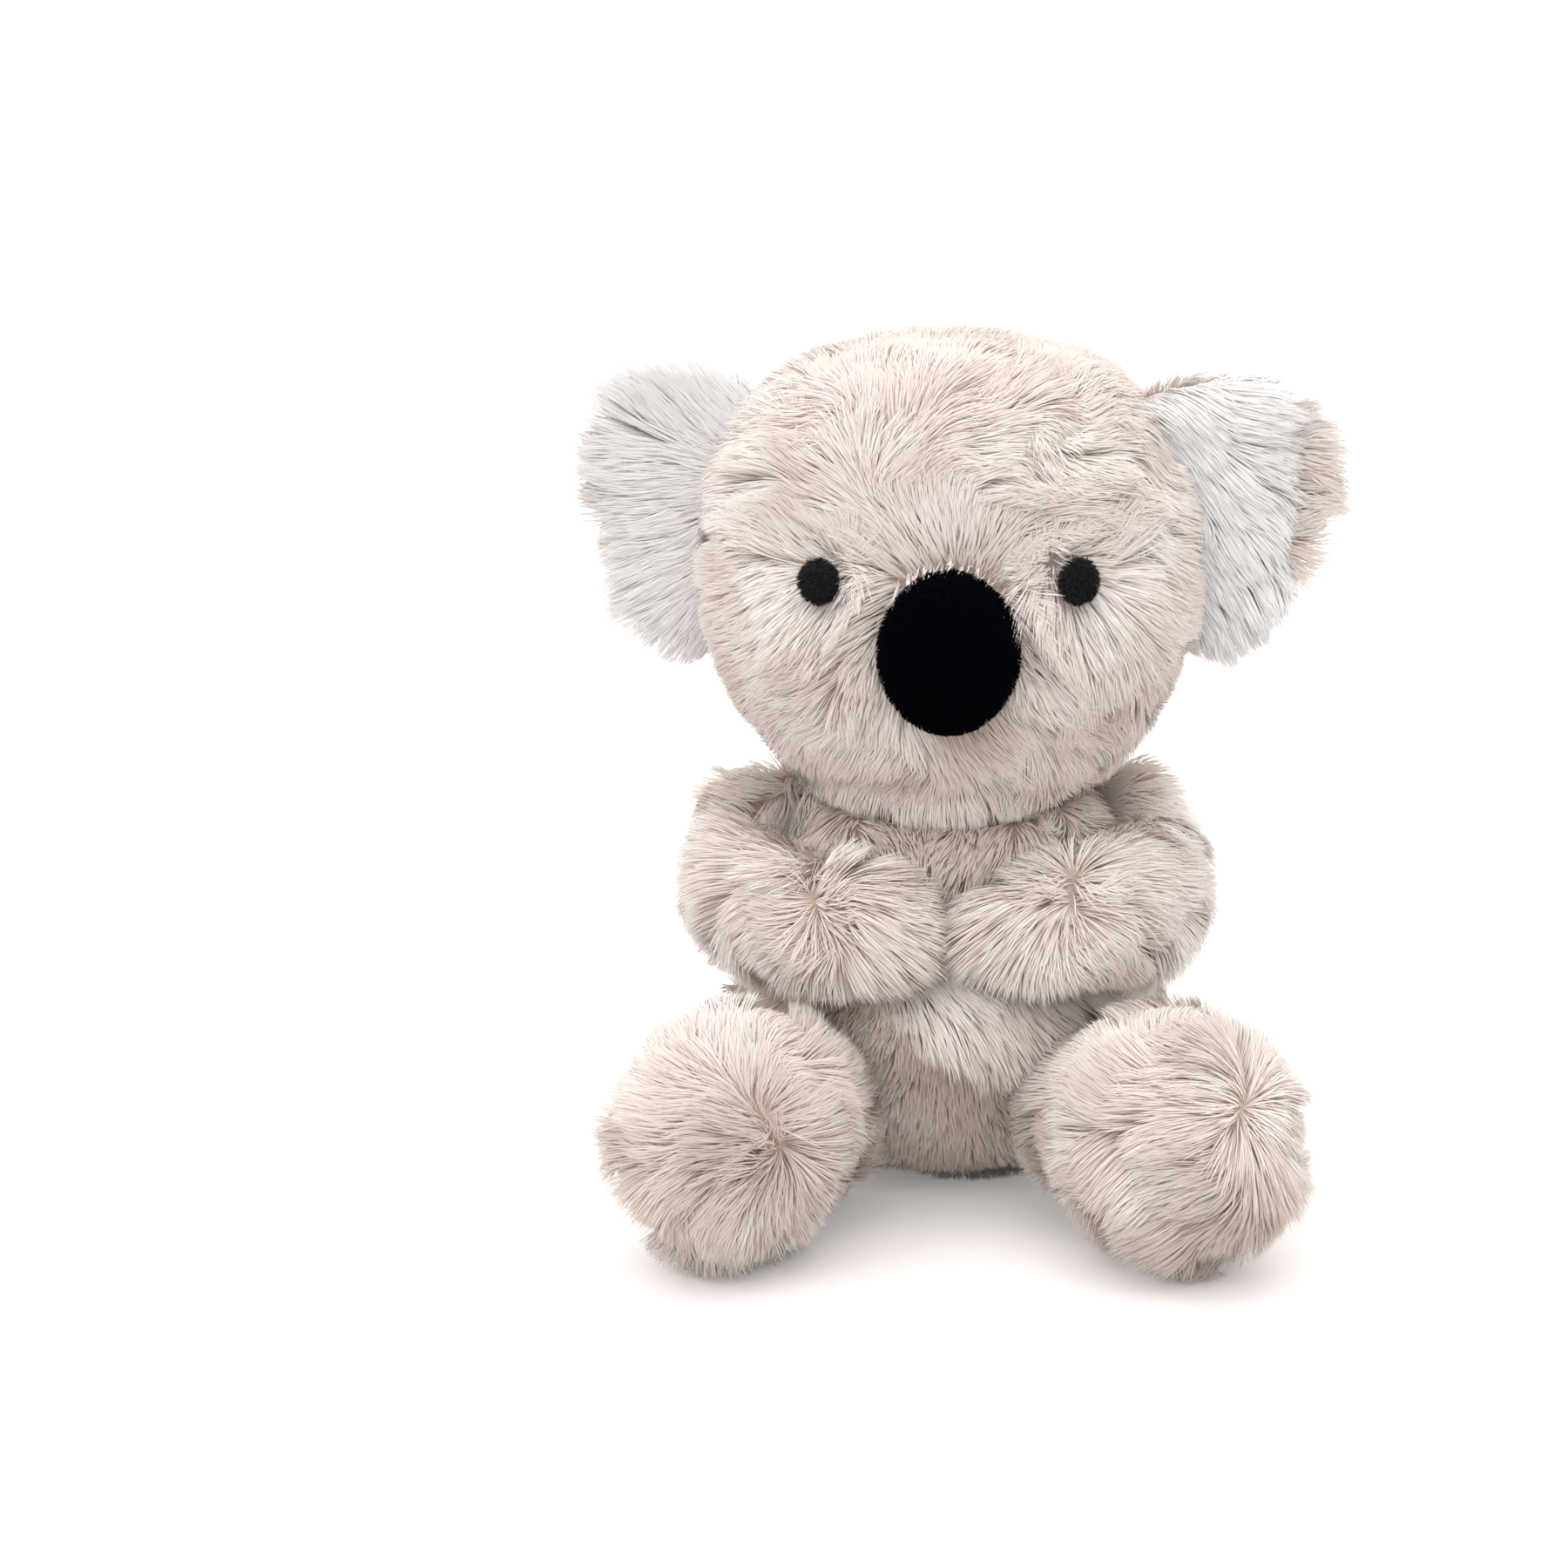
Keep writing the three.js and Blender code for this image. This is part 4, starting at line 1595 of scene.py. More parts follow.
    def dress(self, wardrobe: Wardrobe) -> list[Piece]:
        """Makes the nose and both eyes."""
        nose = Cover("nose_cover", ("nose_velour", "nose_velour_nap"), wardrobe.velour,
                     Slot.VELOUR, self.nose_cut, self.NOSE_SEED)
        pieces = self.dress_feature(nose, self.nose_form, self.nose_place())
        for side in Side:
            name = f"eye_{side.label}"
            eye = Cover(name, (f"{name}_felt", f"{name}_felt_nap"), wardrobe.felt, Slot.FELT,
                        self.eye_cut, self.EYE_SEED + side.value)
            pieces += self.dress_feature(eye, self.eye_form, self.eye_place(side))
        return pieces


@dataclass
class Ear:
    """One ear: two panels sewn back to back, with long white pile in front."""

    side: Side
    head: Head
    form: Plump = Plump(
        half_width=25, half_height=7, front=34, back=34, low_square=0.6, high_square=0.6)
    pile: float = 5.0
    core: float = 2.4
    reach: float = 4.0
    above: float = 12.0
    forward: float = 3.0
    lean: float = 14.0
    toe: float = 8.0
    root_reach: float = 9.0
    half_gap: float = 0.15
    outer_shares: tuple[float, float] = (1.0, 1.0)
    low_shares: tuple[float, float] = (1.0, 1.0)
    low_fade: float = 14.0
    source: tuple[float, float, float] = (-24.0, -4.0, 2.0)
    rings: int = 36
    sides: int = 96
    front_cut: PileCut = PileCut(
        length=17.0, per_square=4.0, width=0.24, root_lean=38, tip_lean=80, tuft=2.4, lock=9,
        tuft_pull=0.35, lock_pull=0.15, lock_stray=0.1, stray=0.08)
    back_cut: PileCut = PileCut(
        length=12.0, per_square=3.0, root_lean=35, tip_lean=75, lock_stray=0.2)

    FRONT_SEED = 401
    BACK_SEED = 501

    # How both piles fan out, sink and drift, beside a lay of about one
    FRONT_DRIFT = Drift(31, 16)
    BACK_DRIFT = Drift(32, 16)
    FRONT_WANDER = 0.15
    BACK_WANDER = 0.25
    FALL = 0.15
    FAN = (1.0, 0.3, 1.0)

    # The front's pile: shorter far from its source, and none on the panel's back
    WHOLE_LENGTH = 1.2
    LENGTH_FADE = 90.0
    LENGTHS = (0.45, 1.1)
    FRONT_EDGE = -0.3
    FROST = 0.7

    # The back's pile: shorter near the root, and none where the front's pile hides it
    BACK_ROOT = 24.0
    BACK_LENGTH = 0.5
    BACK_LONGER = 0.4
    BACK_FADE = (2.0, 12.0)
    BACK_EDGE = 0.3
    BACK_RIM = 4.0
    BACK_LEAN = 1.2

    @property
    def label(self) -> str:
        """The ear's name in the names of pieces."""
        return f"ear_{self.side.label}"

    def axes(self) -> Array:
        """The flap's directions as columns: across, up the flap, and out of its front."""
        sign = self.side.value
        turn = Matrix.Rotation(math.radians(sign * self.lean), 3, "Y")
        turn @= Matrix.Rotation(math.radians(sign * self.toe), 3, "Z")
        turn @= Matrix.Rotation(math.pi / 2, 3, "X")
        return np.array(turn)

    def middle(self) -> Array:
        """The flap's centre."""
        across = self.side.value * (self.head.form.half_width + self.reach)
        return np.array([across, -self.forward, self.head.middle[2] + self.above])

    def panel(self, front: bool) -> Skin:
        """Backing of one panel: half a flat lens, with its root inside the head."""
        form = self.form
        flat = replace(
            form, half_width=form.half_width - self.pile, half_height=self.core,
            front=form.front - self.pile, back=form.back - self.pile)
        skin = flat.skin(np.zeros_like, self.rings, self.sides)
        outward = self.side.value * skin.points[:, 0] > 0
        stretch = 1 + (self.root_reach + self.pile) / flat.half_width
        high_reach = self.outer_shares[0 if front else 1]
        low_reach = self.low_shares[0 if front else 1]
        high = fade(skin.points[:, 1], -self.low_fade, 0)
        reach = low_reach + (high_reach - low_reach) * high
        skin.points[:, 0] *= np.where(outward, reach, stretch)
        if front:
            skin.points[:, 2] = np.maximum(skin.points[:, 2], self.half_gap)
        else:
            skin.points[:, 2] = np.minimum(skin.points[:, 2], -self.half_gap)
        skin.points = skin.points @ self.axes().T + self.middle()
        return skin

    def brush_front(self, points: Array, normals: Array) -> Brushing:
        """Long pile that fans out of the ear's inner edge and hangs a little."""
        source = self.middle() + np.array(self.source) * np.array([self.side.value, 1, 1])
        lay = unit(points - source) * np.array(self.FAN) - self.FALL * UP
        lay += self.FRONT_WANDER * self.FRONT_DRIFT.at(points)
        distance = np.linalg.norm(points - source, axis=1)
        length = np.clip(self.WHOLE_LENGTH - distance / self.LENGTH_FADE, *self.LENGTHS)
        seen = normals @ self.axes()[:, 2] > self.FRONT_EDGE
        return Brushing(along_skin(lay, normals), length * seen, np.ones(len(points)), self.FROST)

    def brush_back(self, points: Array, normals: Array) -> Brushing:
        """Pile that fans out from the ear's root to its rim."""
        source = self.middle() - np.array([self.side.value * self.BACK_ROOT, 0, 0])
        lay = unit(points - source) - self.FALL * UP
        lay += self.BACK_WANDER * self.BACK_DRIFT.at(points)
        outer = self.side.value * (points - self.middle()) @ self.axes()[:, 0]
        seen = (normals @ self.axes()[:, 2] < self.BACK_EDGE) | (outer > self.BACK_RIM)
        length = self.BACK_LENGTH + self.BACK_LONGER * fade(outer, *self.BACK_FADE)
        lean = np.full(len(points), self.BACK_LEAN)
        return Brushing(along_skin(lay, normals), length * seen, lean)

    def dress(self, wardrobe: Wardrobe, neighbours: Sequence[BVHTree]) -> list[Piece]:
        """Makes both panels, each a backing with its pile."""
        panels = (
            ("front", wardrobe.white, Slot.WHITE, self.front_cut, self.brush_front, self.FRONT_SEED),
            ("back", wardrobe.cream, Slot.CREAM, self.back_cut, self.brush_back, self.BACK_SEED),
        )
        made = []
        for which, plush, slot, cut, brush, seed in panels:
            name = f"{self.label}_{which}"
            cover = Cover(f"{name}_panel", (f"{name}_backing", f"{name}_pile"), plush, slot,
                          cut, seed + self.side.value)
            made += cover.dress(self.panel(which == "front"), brush, neighbours, riding(self.label))
        return made


@dataclass
class SewnLimb:
    """What an arm and a leg share: a side, the torso that carries it, and a cover.

    Attributes:
        side: The toy's side.
        torso: The torso.
        skin: The backing's surface, once it is shaped.
        KIND: What it is, in the names of pieces.
        SEED: Number that fixes the draw of its fibres.
        BEND_END: Number of the centre handed to its hold as the end.
        FILL: How full it is.
        RINGS, SIDES: Rings along its surface, and points round it.
    """

    side: Side
    torso: Torso
    skin: Skin = field(init=False)

    @property
    def label(self) -> str:
        """The limb's name in the names of pieces."""
        return f"{self.KIND}_{self.side.label}"

    def limb(self) -> Limb:
        """The limb's form."""
        wide = self.half_wide * np.array(self.WIDE_SHARES)
        tall = self.half_tall * np.array(self.TALL_SHARES)
        return Limb(self.centres(), wide, tall, *self.CAP_SHARES)

    def shape(self) -> None:
        """Makes the backing's surface."""
        self.skin = self.limb().skin(self.pile, self.root_reach, self.RINGS, self.SIDES)

    def dress(self, wardrobe: Wardrobe, neighbours: Sequence[BVHTree]) -> list[Piece]:
        """Makes the backing and the pile."""
        name, centres = self.label, self.centres()
        cover = Cover(f"{name}_cover", (f"{name}_backing", f"{name}_pile"), wardrobe.cream,
                      Slot.CREAM, self.cut, self.SEED + self.side.value)
        hold = bending(centres[0], centres[self.BEND_END])
        pieces = cover.dress(self.skin, self.brush, neighbours, hold)
        return pieces


@dataclass
class Arm(SewnLimb):
    """One arm, which starts at the shoulder and folds round to the front of the chest."""

    pile: float = 5.0
    root_reach: float = 5.0
    stand_off: float = 12.5
    half_wide: float = 13.0
    half_tall: float = 20.0
    cut: PileCut = PileCut(
        length=13.3, per_square=4.3, root_lean=38, tip_lean=80, lock_stray=0.38, uneven=0.3)

    KIND = "arm"
    SEED = 601
    BEND_END = 1
    FILL = 0.6
    RINGS = 56
    SIDES = 64

    COMBINGS = {
        Side.RIGHT: Combing((
            (-48, 80, 178), (-41, 88, 172), (-45, 94, 172), (-52, 73, 195), (-50, 62, 205),
            (-38, 80, 185), (-34, 73, 168), (-38, 66, 190), (-32, 62, 230), (-43, 62, 225),
            (-24, 83, 25), (-15, 83, 5), (-8, 80, -12), (-16, 74, 5), (-10, 70, -12),
            (-18, 66, -45), (-23, 62, -80), (-6, 74, -20), (-36, 96, 80), (-42, 96, 130),
            (-24, 57, -88), (-14, 58, -70), (-32, 57, -95), (-6, 62, -60),
        ), reach=8.0, strength=1.3),
        Side.LEFT: Combing((
            (40, 92, -5), (44, 86, -20), (33, 90, 5), (41, 77, -12), (49, 71, -20),
            (50, 62, -40), (30, 84, 15), (26, 81, 188), (20, 79, 190), (14, 76, 195),
            (8, 72, 202), (14, 68, 210), (10, 63, 215), (26, 71, -10), (33, 70, -8),
            (26, 65, -25), (34, 62, -25), (40, 64, -25), (36, 96, 60), (43, 95, 10),
            (12, 59, -65), (20, 58, -65), (30, 57, -72), (4, 63, -65),
        ), reach=8.0, strength=1.3),
    }

    # Along the arm: shares of a quarter turn, of the sizes above and of the torso's height
    ANGLE_SHARES = (-0.15, 0.14, 0.47, 0.78, 0.97)
    OFF_SHARES = (0.24, 0.4, 0.75, 1, 0.8)
    WIDE_SHARES = (0.85, 0.9, 0.96, 1, 0.96)
    TALL_SHARES = (0.85, 0.92, 0.88, 0.8, 0.7)
    RISE_SHARES = (0.81, 0.69, 0.67, 0.67, 0.665)
    CAP_SHARES = (0.17, 0.26)

    # How the lay runs down the arm, falls and wanders, beside the strokes
    ALONG = 0.35
    FALL = 0.75
    WANDER = Wander(fine=0.35, broad_grain=18)
    BROAD_SEED = 41
    FINE_SEED = 43

    # The hem in front, shorter and flatter, by height and by distance to the front
    HEM_HEIGHTS = (66.0, 60.0)
    HEM_DEPTHS = (20.0, 40.0)
    HEM_SHORTER = 0.35
    HEM_FLATTER = 0.1

    def centres(self) -> Array:
        """Centres of the arm, round the outside of the torso."""
        rows = []
        for angle_share, off, rise in zip(self.ANGLE_SHARES, self.OFF_SHARES, self.RISE_SHARES):
            angle = angle_share * math.pi / 2
            point = self.torso.at(self.torso.top * rise, angle)
            point = point + self.torso.outward(angle) * self.stand_off * off
            rows.append(point * np.array([self.side.value, 1, 1]))
        return np.array(rows)

    def brush(self, points: Array, normals: Array) -> Brushing:
        """Pile that runs down the arm and hangs, parted where the arm bends."""
        line, _ = self.limb().line()
        stride = 8
        nearest = ((points[:, None] - line[None, ::stride]) ** 2).sum(2).argmin(1) * stride
        heading = unit(np.gradient(line, axis=0))[nearest]
        lay = self.ALONG * heading - self.FALL * UP
        lay += self.COMBINGS[self.side].at(points, normals)
        lay += self.WANDER.at(points, self.BROAD_SEED + self.side.value, self.FINE_SEED)
        hem = fade(points[:, 2], *self.HEM_HEIGHTS) * fade(-points[:, 1], *self.HEM_DEPTHS)
        length, lean = 1 - self.HEM_SHORTER * hem, 1 + self.HEM_FLATTER * hem
        return Brushing(along_skin(lay, normals), length, lean)


@dataclass
class Leg(SewnLimb):
    """One leg, which lies on the floor, splays outwards and ends in a large round foot."""

    pile: float = 8.0
    root_reach: float = 0.0
    length: float = 79.0
    root_depth: float = 11.0
    half_wide: float = 28.0
    half_tall: float = 31.0
    root_angle: float = 52.0
    splay: float = 27.0
    root_height_share: float = 0.27
    cut: PileCut = PileCut(
        length=12.8, per_square=4.3, root_lean=38, tip_lean=80, lock_stray=0.32, uneven=0.3)

    KIND = "leg"
    SEED = 701
    BEND_END = 2
    FILL = 0.7
    RINGS = 60
    SIDES = 72

    COMBINGS = {
        Side.RIGHT: Combing((
            (-30, 42, 10), (-30, 34, 0), (-28, 26, -30), (-42, 43, 182), (-50, 42, 190),
            (-58, 40, 205), (-42, 36, 188), (-50, 34, 195), (-58, 32, 205), (-44, 27, 188),
            (-36, 20, -50), (-44, 18, -70), (-54, 16, -95),
            (-63, 20, -115), (-34, 14, -60), (-62, 52, 150), (-52, 56, 120), (-42, 58, 95),
            (-32, 55, 60), (-25, 48, 30), (-68, 42, 190), (-66, 30, 220),
        ), reach=6.0, strength=1.7),
        Side.LEFT: Combing((
            (58, 46, 170), (50, 47, 178), (42, 46, 182), (34, 42, 190), (26, 36, 200),
            (66, 51, 50), (62, 55, 90), (52, 56, 115), (42, 58, 130), (70, 45, 10),
            (65, 38, -82), (67, 32, -75), (73, 32, -40), (46, 36, 195), (36, 32, 198),
            (58, 27, 200), (50, 23, 205), (42, 19, 208), (34, 15, 215), (70, 23, -50),
            (64, 16, -75), (54, 12, 222), (44, 10, -110), (28, 24, 205),
        ), reach=6.0, strength=2.2),
    }

    # Along the leg: shares of the sizes above
    WIDE_SHARES = (0.61, 0.79, 0.95, 1, 0.965)
    TALL_SHARES = (0.645, 0.79, 0.95, 1, 0.968)
    RISE_SHARES = (0.887, 0.871, 0.958, 1, 1)
    CAP_SHARES = (0.25, 0.37)

    # How the lay falls, runs back over the foot and wanders, beside the strokes
    FALL = 0.2
    BACKWARD = 0.3
    TOP_START = 0.3
    TOP_BACKWARD = 1.5
    SOLE_REACH = 60.0
    SOLE_HOLD = 0.45
    WANDER = Wander(broad_grain=18)
    BROAD_SEED = 51
    FINE_SEED = 53
    TOP_FLATTER = 0.15
    FROST = -0.45

    def along(self) -> Array:
        """Level direction from the hip to the foot."""
        splay = math.radians(self.splay)
        return np.array([self.side.value * math.sin(splay), -math.cos(splay), 0])

    def centres(self) -> Array:
        """Centres of the leg, from inside the torso to the foot."""
        root = self.torso.at(self.torso.top * self.root_height_share, math.radians(self.root_angle))
        root = root * np.array([self.side.value, 1, 1]) - self.along() * self.root_depth
        steps = np.linspace(0, self.length, len(self.RISE_SHARES))[:, None]
        centres = root + self.along() * steps
        centres[:, 2] = self.half_tall * np.array(self.RISE_SHARES) - self.torso.seat_cut
        return centres

    def brush(self, points: Array, normals: Array) -> Brushing:
        """Pile that lies back over the foot from the middle of its sole, and is combed there."""
        sign = self.side.value
        away = points - self.centres()[-1]
        distance = np.linalg.norm(away, axis=1, keepdims=True)
        parted = self.SOLE_HOLD * np.exp(-((distance / self.SOLE_REACH) ** 2))
        back = self.BACKWARD + self.TOP_BACKWARD * np.clip(normals[:, 2:] - self.TOP_START, 0, 1)
        lay = -self.FALL * UP - back * self.along() + parted * unit(away)
        lay = lay + self.COMBINGS[self.side].at(points, normals)
        lay += self.WANDER.at(points, self.BROAD_SEED + sign, self.FINE_SEED + sign)
        shares = np.ones(len(points))
        lean = 1 + self.TOP_FLATTER * facing_up(normals)
        return Brushing(along_skin(lay, normals), shares, lean, self.FROST)


@dataclass
class Filling:
    """A wad of fibre fill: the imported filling's form, rounded and a little lumpy."""

    node: str
    voxel: float = 2.0
    rounds: int = 4
    lump: float = 0.5
    lump_apart: float = 9.0
    shrink: float = 0.0
    fill: float = 0.7

    SEED = 9

    def dress(self, wardrobe: Wardrobe) -> Piece:
        """Makes the wad from a copy of the node's mesh, and lets it ride with the node."""
        source = frame["nodes"][self.node]
        piece = bpy.data.objects.new(f"{self.node}_wad", source.data.copy())
        bpy.context.scene.collection.objects.link(piece)
        piece.data.materials.clear()
        piece.data.materials.append(wardrobe.fill)
        remesh = piece.modifiers.new("even", "REMESH")
        remesh.mode = "VOXEL"
        remesh.voxel_size = self.voxel * METRES
        rounded = piece.modifiers.new("rounded", "SMOOTH")
        rounded.iterations = self.rounds
        graph = bpy.context.evaluated_depsgraph_get()
        piece.data = bpy.data.meshes.new_from_object(piece.evaluated_get(graph))
        piece.modifiers.clear()
        self.ruffle(piece.data)
        piece.data.shade_smooth()
        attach(piece, source["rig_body"])
        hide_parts(self.node)
        return piece

    def ruffle(self, mesh: bpy.types.Mesh) -> None:
        """Sinks the surface, here and there by up to the height of a lump more."""
        points = np.zeros(len(mesh.vertices) * 3, np.float32)
        normals = np.zeros(len(mesh.vertices) * 3, np.float32)
        mesh.vertices.foreach_get("co", points)
        mesh.vertices.foreach_get("normal", normals)
        points, normals = points.reshape(-1, 3), normals.reshape(-1, 3)
        ripple = Ripple(self.SEED, self.lump_apart).at(points / METRES)
        lumps = self.lump * (Ripple.PEAK - ripple) / (2 * Ripple.PEAK)
        moved = points - normals * ((self.shrink + lumps) * METRES)[:, None]
        mesh.vertices.foreach_set("co", moved.astype(np.float32).ravel())
        mesh.update()


@dataclass
class Squeaker:
    """The moulded squeaker in its pocket: a base, a whistle reed, a bellows and a cap.

    Each piece is turned about one upright axis.
    """

    rise: float = 32.085
    radius: float = 19.0
    wall: float = 1.2
    base_height: float = 7.0
    bellows_height: float = 8.0
    bellows_wall: float = 1.0
    bellows_fold: float = 3.0
    bellows_turns: int = 2
    cap_height: float = 5.0
    reed_radius: float = 4.0
    reed_wall: float = 1.0
    reed_length: float = 9.0
    reed_lip: float = 1.2
    gap: float = 0.3
    press: float = 5.0
    sides: int = 96
    edge_angle: float = 30.0
    weld: float = 1e-7

    @property
    def bellows_low(self) -> float:
        """Height of the bellows over the base's underside."""
        return self.base_height + self.gap

    @property
    def cap_low(self) -> float:
        """Height of the cap over the base's underside."""
        return self.bellows_low + self.bellows_height + self.gap

    def base(self) -> list[tuple[float, float]]:
        """Outline of the base, a shallow cup with a bore for the reed, as radii and heights."""
        bore, r, w = self.reed_radius + self.gap, self.radius, self.wall
        return [(bore, 0), (r - w, 0), (r, w), (r, self.base_height), (r - w, self.base_height),
                (r - w, 2 * w), (r - 2 * w, w), (bore, w)]

    def reed(self) -> list[tuple[float, float]]:
        """Outline of the whistle reed, a tube with a lip that rests on the base."""
        r, low, lip = self.reed_radius, self.wall + self.gap, self.reed_lip
        bore = r - self.reed_wall
        return [(bore, 0), (r, 0), (r, low), (r + lip, low), (r + lip, low + lip), (r, low + lip),
                (r, self.reed_length), (bore, self.reed_length)]

    def bellows(self) -> list[tuple[float, float]]:
        """Outline of the bellows, a thin wall folded in and out."""
        folds = 2 * self.bellows_turns + 1
        step = self.bellows_height / (folds - 1)
        outer = [(self.radius - (i % 2) * self.bellows_fold, self.bellows_low + step * i)
                 for i in range(folds)]
        return outer + [(r - self.bellows_wall, height) for r, height in reversed(outer)]

    def cap(self) -> list[tuple[float, float]]:
        """Outline of the cap, a shallow lid."""
        r, w, low = self.radius, self.wall, self.cap_low
        top = low + self.cap_height
        return [(0, top - w), (r - 2 * w, top - w), (r - w, low), (r, low), (r, top - w),
                (r - w, top), (0, top)]

    def turn(self, name: str, outline: list[tuple[float, float]]) -> Piece:
        """Turns an outline into a piece, with flat rings and smooth walls.

        Args:
            name: The piece's name.
            outline: Radii and heights, counter-clockwise with the axis on the left.

        Returns:
            The object.
        """
        angle = 2 * math.pi * np.arange(self.sides) / self.sides
        radius, height = np.array(outline).T
        points = np.stack(np.broadcast_arrays(
            radius[:, None] * np.cos(angle), radius[:, None] * np.sin(angle),
            height[:, None] + self.rise), axis=-1)
        ring, side = np.meshgrid(np.arange(len(outline)), np.arange(self.sides), indexing="ij")
        above, beside = (ring + 1) % len(outline), (side + 1) % self.sides
        corners = [ring * self.sides + side, ring * self.sides + beside,
                   above * self.sides + beside, above * self.sides + side]
        faces = np.stack([corner.ravel() for corner in corners], axis=1)
        axis = (radius[ring] == 0) & (radius[above] == 0)
        piece = new_piece(name, points.reshape(-1, 3), faces[~axis.ravel()])
        shape = bmesh.new()
        shape.from_mesh(piece.data)
        bmesh.ops.remove_doubles(shape, verts=shape.verts, dist=self.weld)
        shape.to_mesh(piece.data)
        shape.free()
        piece.data.set_sharp_from_angle(angle=math.radians(self.edge_angle))
        return piece

    def dress(self, wardrobe: Wardrobe) -> list[Piece]:
        """Makes the four pieces, and gives the bellows a mesh of its own."""
        made = []
        for name, outline, finish, slot, body in (
            ("base", self.base(), wardrobe.plastic, Slot.PLASTIC, "torso"),
            ("reed", self.reed(), wardrobe.reed, Slot.REED, "torso"),
            ("bellows", self.bellows(), wardrobe.plastic, Slot.PLASTIC, "torso"),
            ("cap", self.cap(), wardrobe.plastic, Slot.PLASTIC, "squeaker_cap"),
        ):
            piece = self.turn(f"squeaker_{name}_moulding", outline)
            piece.data.materials.append(finish)
            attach(piece, body)
            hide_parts(f"squeaker_{name}")
            made.append(piece)
        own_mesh(made[2])
        return made


@dataclass(frozen=True)
class Lamp:
    """A soft distant lamp: its name, strength, spread in degrees and the way it shines."""

    name: str
    strength: float
    spread: float
    aim: tuple[float, float, float]

    def hang(self) -> None:
        """Adds the lamp to the scene."""
        data = bpy.data.lights.new(self.name, "SUN")
        data.energy = self.strength
        data.angle = math.radians(self.spread)
        lamp = bpy.data.objects.new(self.name, data)
        lamp.rotation_mode = "QUATERNION"
        lamp.rotation_quaternion = Vector(self.aim).to_track_quat("-Z", "Y")
        bpy.context.scene.collection.objects.link(lamp)


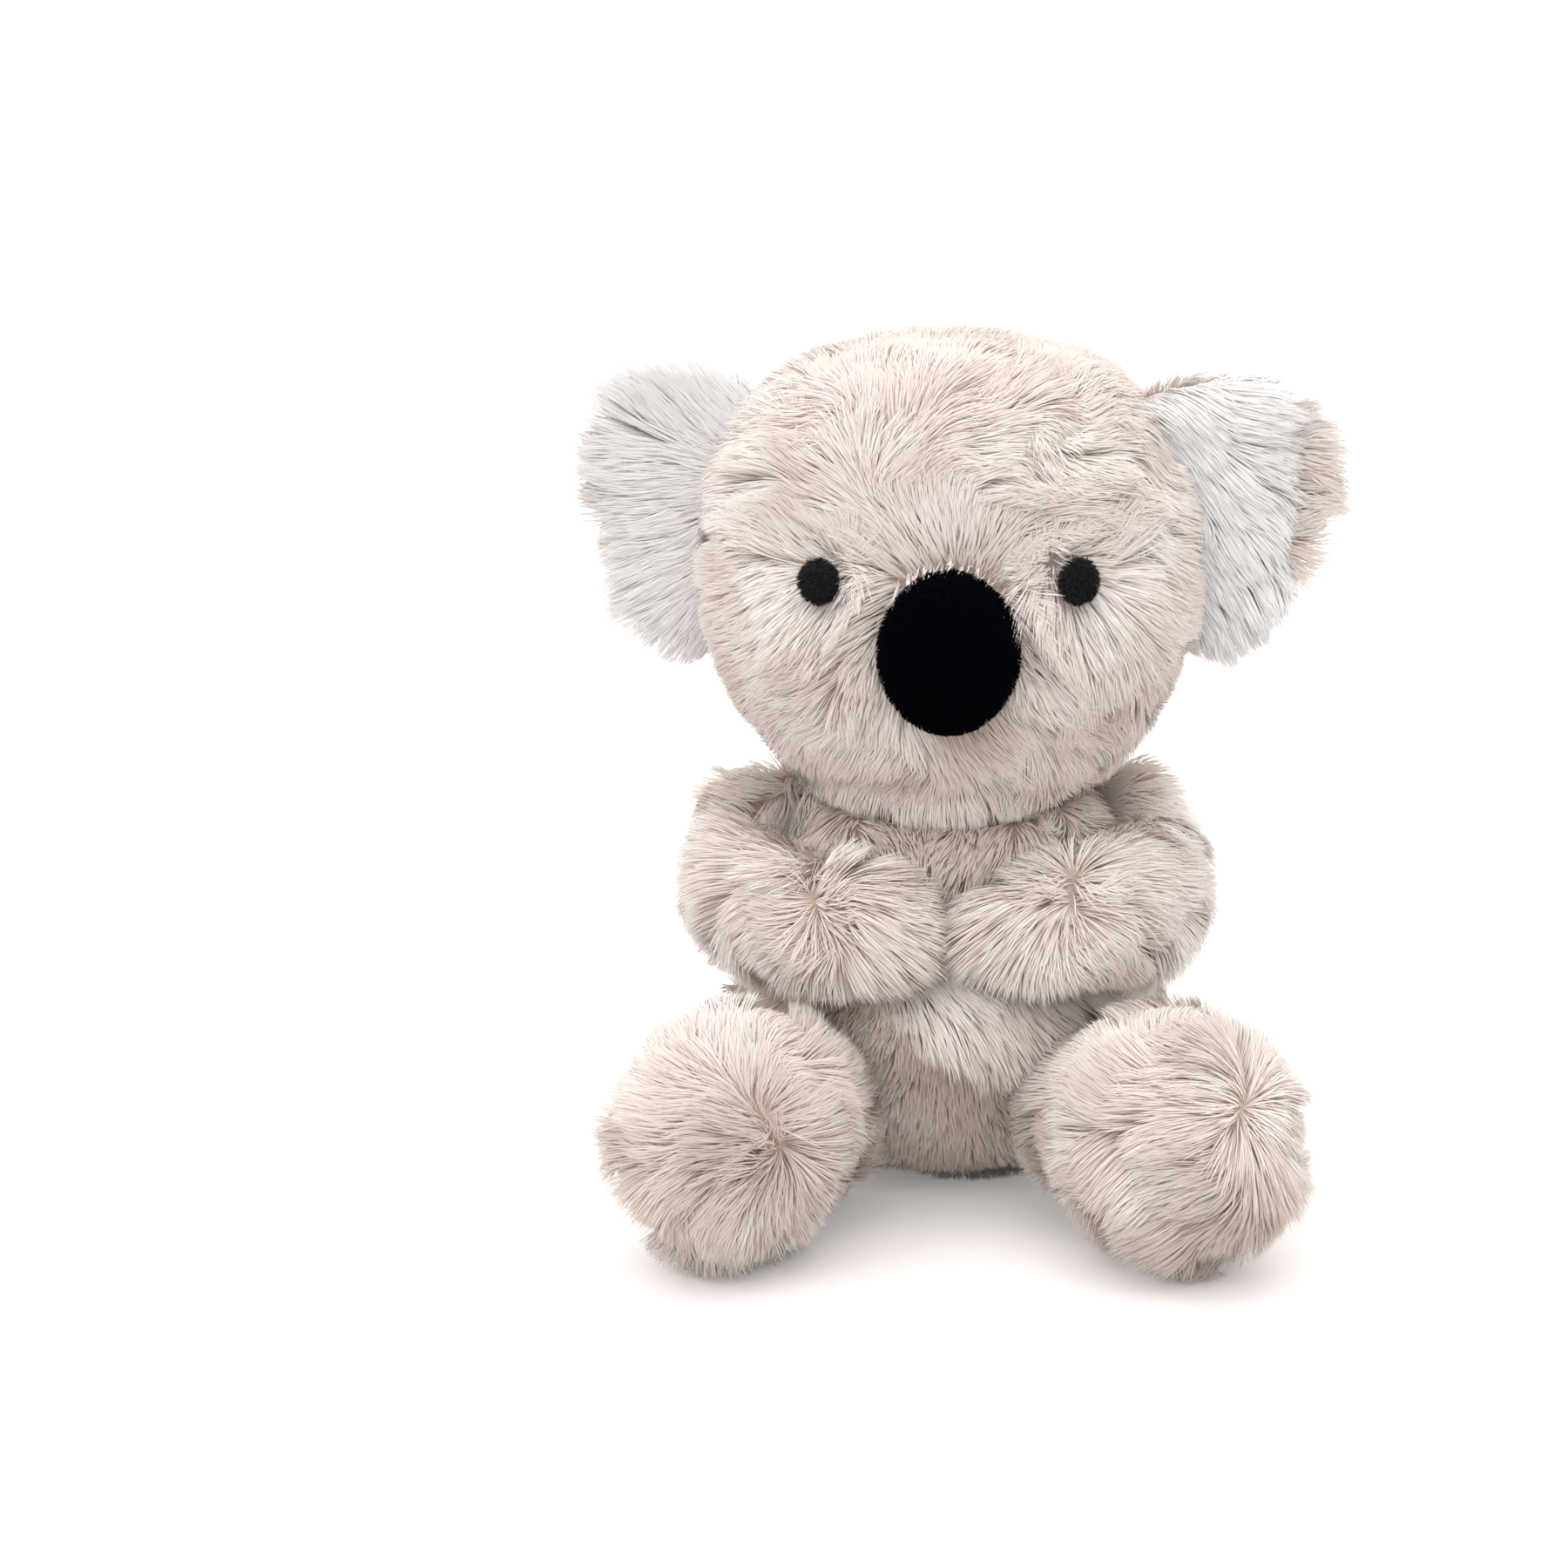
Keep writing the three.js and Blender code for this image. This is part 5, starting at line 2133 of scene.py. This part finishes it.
@dataclass
class Studio:
    """A white floor, a white surround, soft lamps and the camera.

    The camera stands 1.15 m off and looks down through a long lens. The shift puts the toy
    right of the middle, and the two pixel values are in an 1800-pixel frame.
    """

    target: tuple[float, float, float] = (0.0, -20.0, 88.0)
    distance: float = 1150.0
    lens: float = 121.05
    clip: tuple[float, float] = (50.0, 50000.0)
    frame_pixels: float = 1800.0
    target_right: float = 189.0
    target_down: float = 35.0
    floor_half: float = 4000.0
    floor_seen: str = "#F8F2EF"
    floor_lit: str = "#CCC4C0"
    floor_glow: float = 0.2
    sky: float = 0.69
    backdrop: float = 1.0

    LAMPS = (
        Lamp("key", 2.05, 80, (0.2, 0.45, -1.0)),
        Lamp("fill", 0.25, 120, (-0.6, 0.6, -0.8)),
        Lamp("back", 1.5, 60, (-0.1, -1.0, -0.1)),
    )

    def place_camera(self) -> None:
        """Puts the camera at the photographed angle."""
        data = bpy.data.cameras.new("camera")
        data.lens = self.lens
        data.shift_x = -self.target_right / self.frame_pixels
        data.shift_y = self.target_down / self.frame_pixels
        data.clip_start, data.clip_end = (METRES * distance for distance in self.clip)
        camera = bpy.data.objects.new("camera", data)
        tilt = math.radians(LOOK_DOWN)
        back = np.array([0, -math.cos(tilt), math.sin(tilt)]) * self.distance
        camera.location = (np.array(self.target) + back) * METRES
        camera.rotation_euler = (math.pi / 2 - tilt, 0, 0)
        bpy.context.scene.collection.objects.link(camera)
        bpy.context.scene.camera = camera

    def lay_floor(self) -> None:
        """Lays a white floor that keeps the toy's soft shadow."""
        half = self.floor_half
        corners = np.array([[-half, -half, 0], [half, -half, 0], [half, half, 0], [-half, half, 0]])
        floor = new_piece("studio_floor", corners, [[0, 1, 2, 3]])
        finish, tree = new_finish("matt_white_paper")
        path = add_node(tree, "ShaderNodeLightPath")
        tint = add_node(
            tree, "ShaderNodeMix", data_type="RGBA",
            values={6: linear(self.floor_lit), 7: linear(self.floor_seen)},
            links={0: path.outputs["Is Camera Ray"]})
        diffuse = add_node(tree, "ShaderNodeBsdfDiffuse", links={"Color": tint.outputs[2]})
        strength = add_node(
            tree, "ShaderNodeMath", operation="MULTIPLY", values={1: self.floor_glow},
            links={0: path.outputs["Is Camera Ray"]})
        glow = add_node(tree, "ShaderNodeEmission", values={"Color": (1, 1, 1, 1)},
                        links={"Strength": strength.outputs[0]})
        both = add_node(tree, "ShaderNodeAddShader", links={0: diffuse.outputs[0], 1: glow.outputs[0]})
        add_node(tree, "ShaderNodeOutputMaterial", links={0: both.outputs[0]})
        floor.data.materials.append(finish)

    def light(self) -> None:
        """Lights the toy from all round, most from above and in front, and a little from behind."""
        world = bpy.data.worlds.new("studio")
        world.use_nodes = True
        tree = world.node_tree
        tree.nodes.clear()
        path = add_node(tree, "ShaderNodeLightPath")
        plain = path.outputs["Is Camera Ray"]
        for ray in ("Is Glossy Ray", "Is Transmission Ray"):
            plain = add_node(tree, "ShaderNodeMath", operation="MAXIMUM",
                             links={0: plain, 1: path.outputs[ray]}).outputs[0]
        level = add_node(tree, "ShaderNodeMix", data_type="FLOAT",
                         values={2: self.sky, 3: self.backdrop}, links={0: plain})
        sky = add_node(tree, "ShaderNodeBackground", values={"Color": (1, 1, 1, 1)},
                       links={"Strength": level.outputs[0]})
        add_node(tree, "ShaderNodeOutputWorld", links={0: sky.outputs[0]})
        bpy.context.scene.world = world
        for lamp in self.LAMPS:
            lamp.hang()
        bpy.context.scene.view_settings.view_transform = "Standard"

    def build(self) -> None:
        """Sets up the camera, the floor and the light."""
        self.place_camera()
        self.lay_floor()
        self.light()


def main() -> None:
    """Builds the toy, piece by piece, and the studio round it."""
    logging.basicConfig(level=logging.INFO, format="%(name)s: %(message)s")
    wardrobe = Wardrobe()
    torso, head = Torso(), Head()
    head.shape(torso)
    torso.shape(head)
    face = Face(head)
    ears = [
        Ear(Side.LEFT, head, outer_shares=(0.4, 1.05), low_shares=(1.05, 0.6), source=(-22, -4, 26)),
        Ear(Side.RIGHT, head, outer_shares=(0.5, 0.62), low_shares=(0.7, 0.5)),
    ]
    arms = [Arm(Side.LEFT, torso, stand_off=10.5), Arm(Side.RIGHT, torso)]
    legs = [
        Leg(Side.LEFT, torso, splay=29.5, length=84, half_wide=27.4),
        Leg(Side.RIGHT, torso, half_wide=26.4),
    ]
    for limb in (*arms, *legs):
        limb.shape()
    torso_tree, head_tree = torso.skin.tree(), head.skin.tree()
    turned_trees = [head.skin.turned(angle).tree() for angle in (-HEAD_TURN, HEAD_TURN)]
    arm_trees = [arm.skin.tree() for arm in arms]
    leg_trees = [leg.skin.tree() for leg in legs]
    made = torso.dress(wardrobe, [head_tree, *turned_trees, *arm_trees, *leg_trees])
    made += face.dress_head(wardrobe, [torso_tree])
    made += face.dress(wardrobe)
    for ear in ears:
        made += ear.dress(wardrobe, [head_tree])
    for index, arm in enumerate(arms):
        made += arm.dress(wardrobe, [torso_tree, head_tree, arm_trees[1 - index], *leg_trees])
    for index, leg in enumerate(legs):
        made += leg.dress(wardrobe, [torso_tree, leg_trees[1 - index], *arm_trees])
    fillings = [name for name in frame["nodes"] if name.endswith(("_filling", "_padding"))]
    for name in sorted(fillings):
        shrink = WAD_SHRINK.get(name.split("_")[0], 0.0)
        made.append(Filling(name, shrink=shrink).dress(wardrobe))
    made += Squeaker().dress(wardrobe)
    for piece in made:
        log.info("%s: %d faces", piece.name, len(piece.data.polygons))
    Studio().build()


if __name__ == "__main__":
    main()
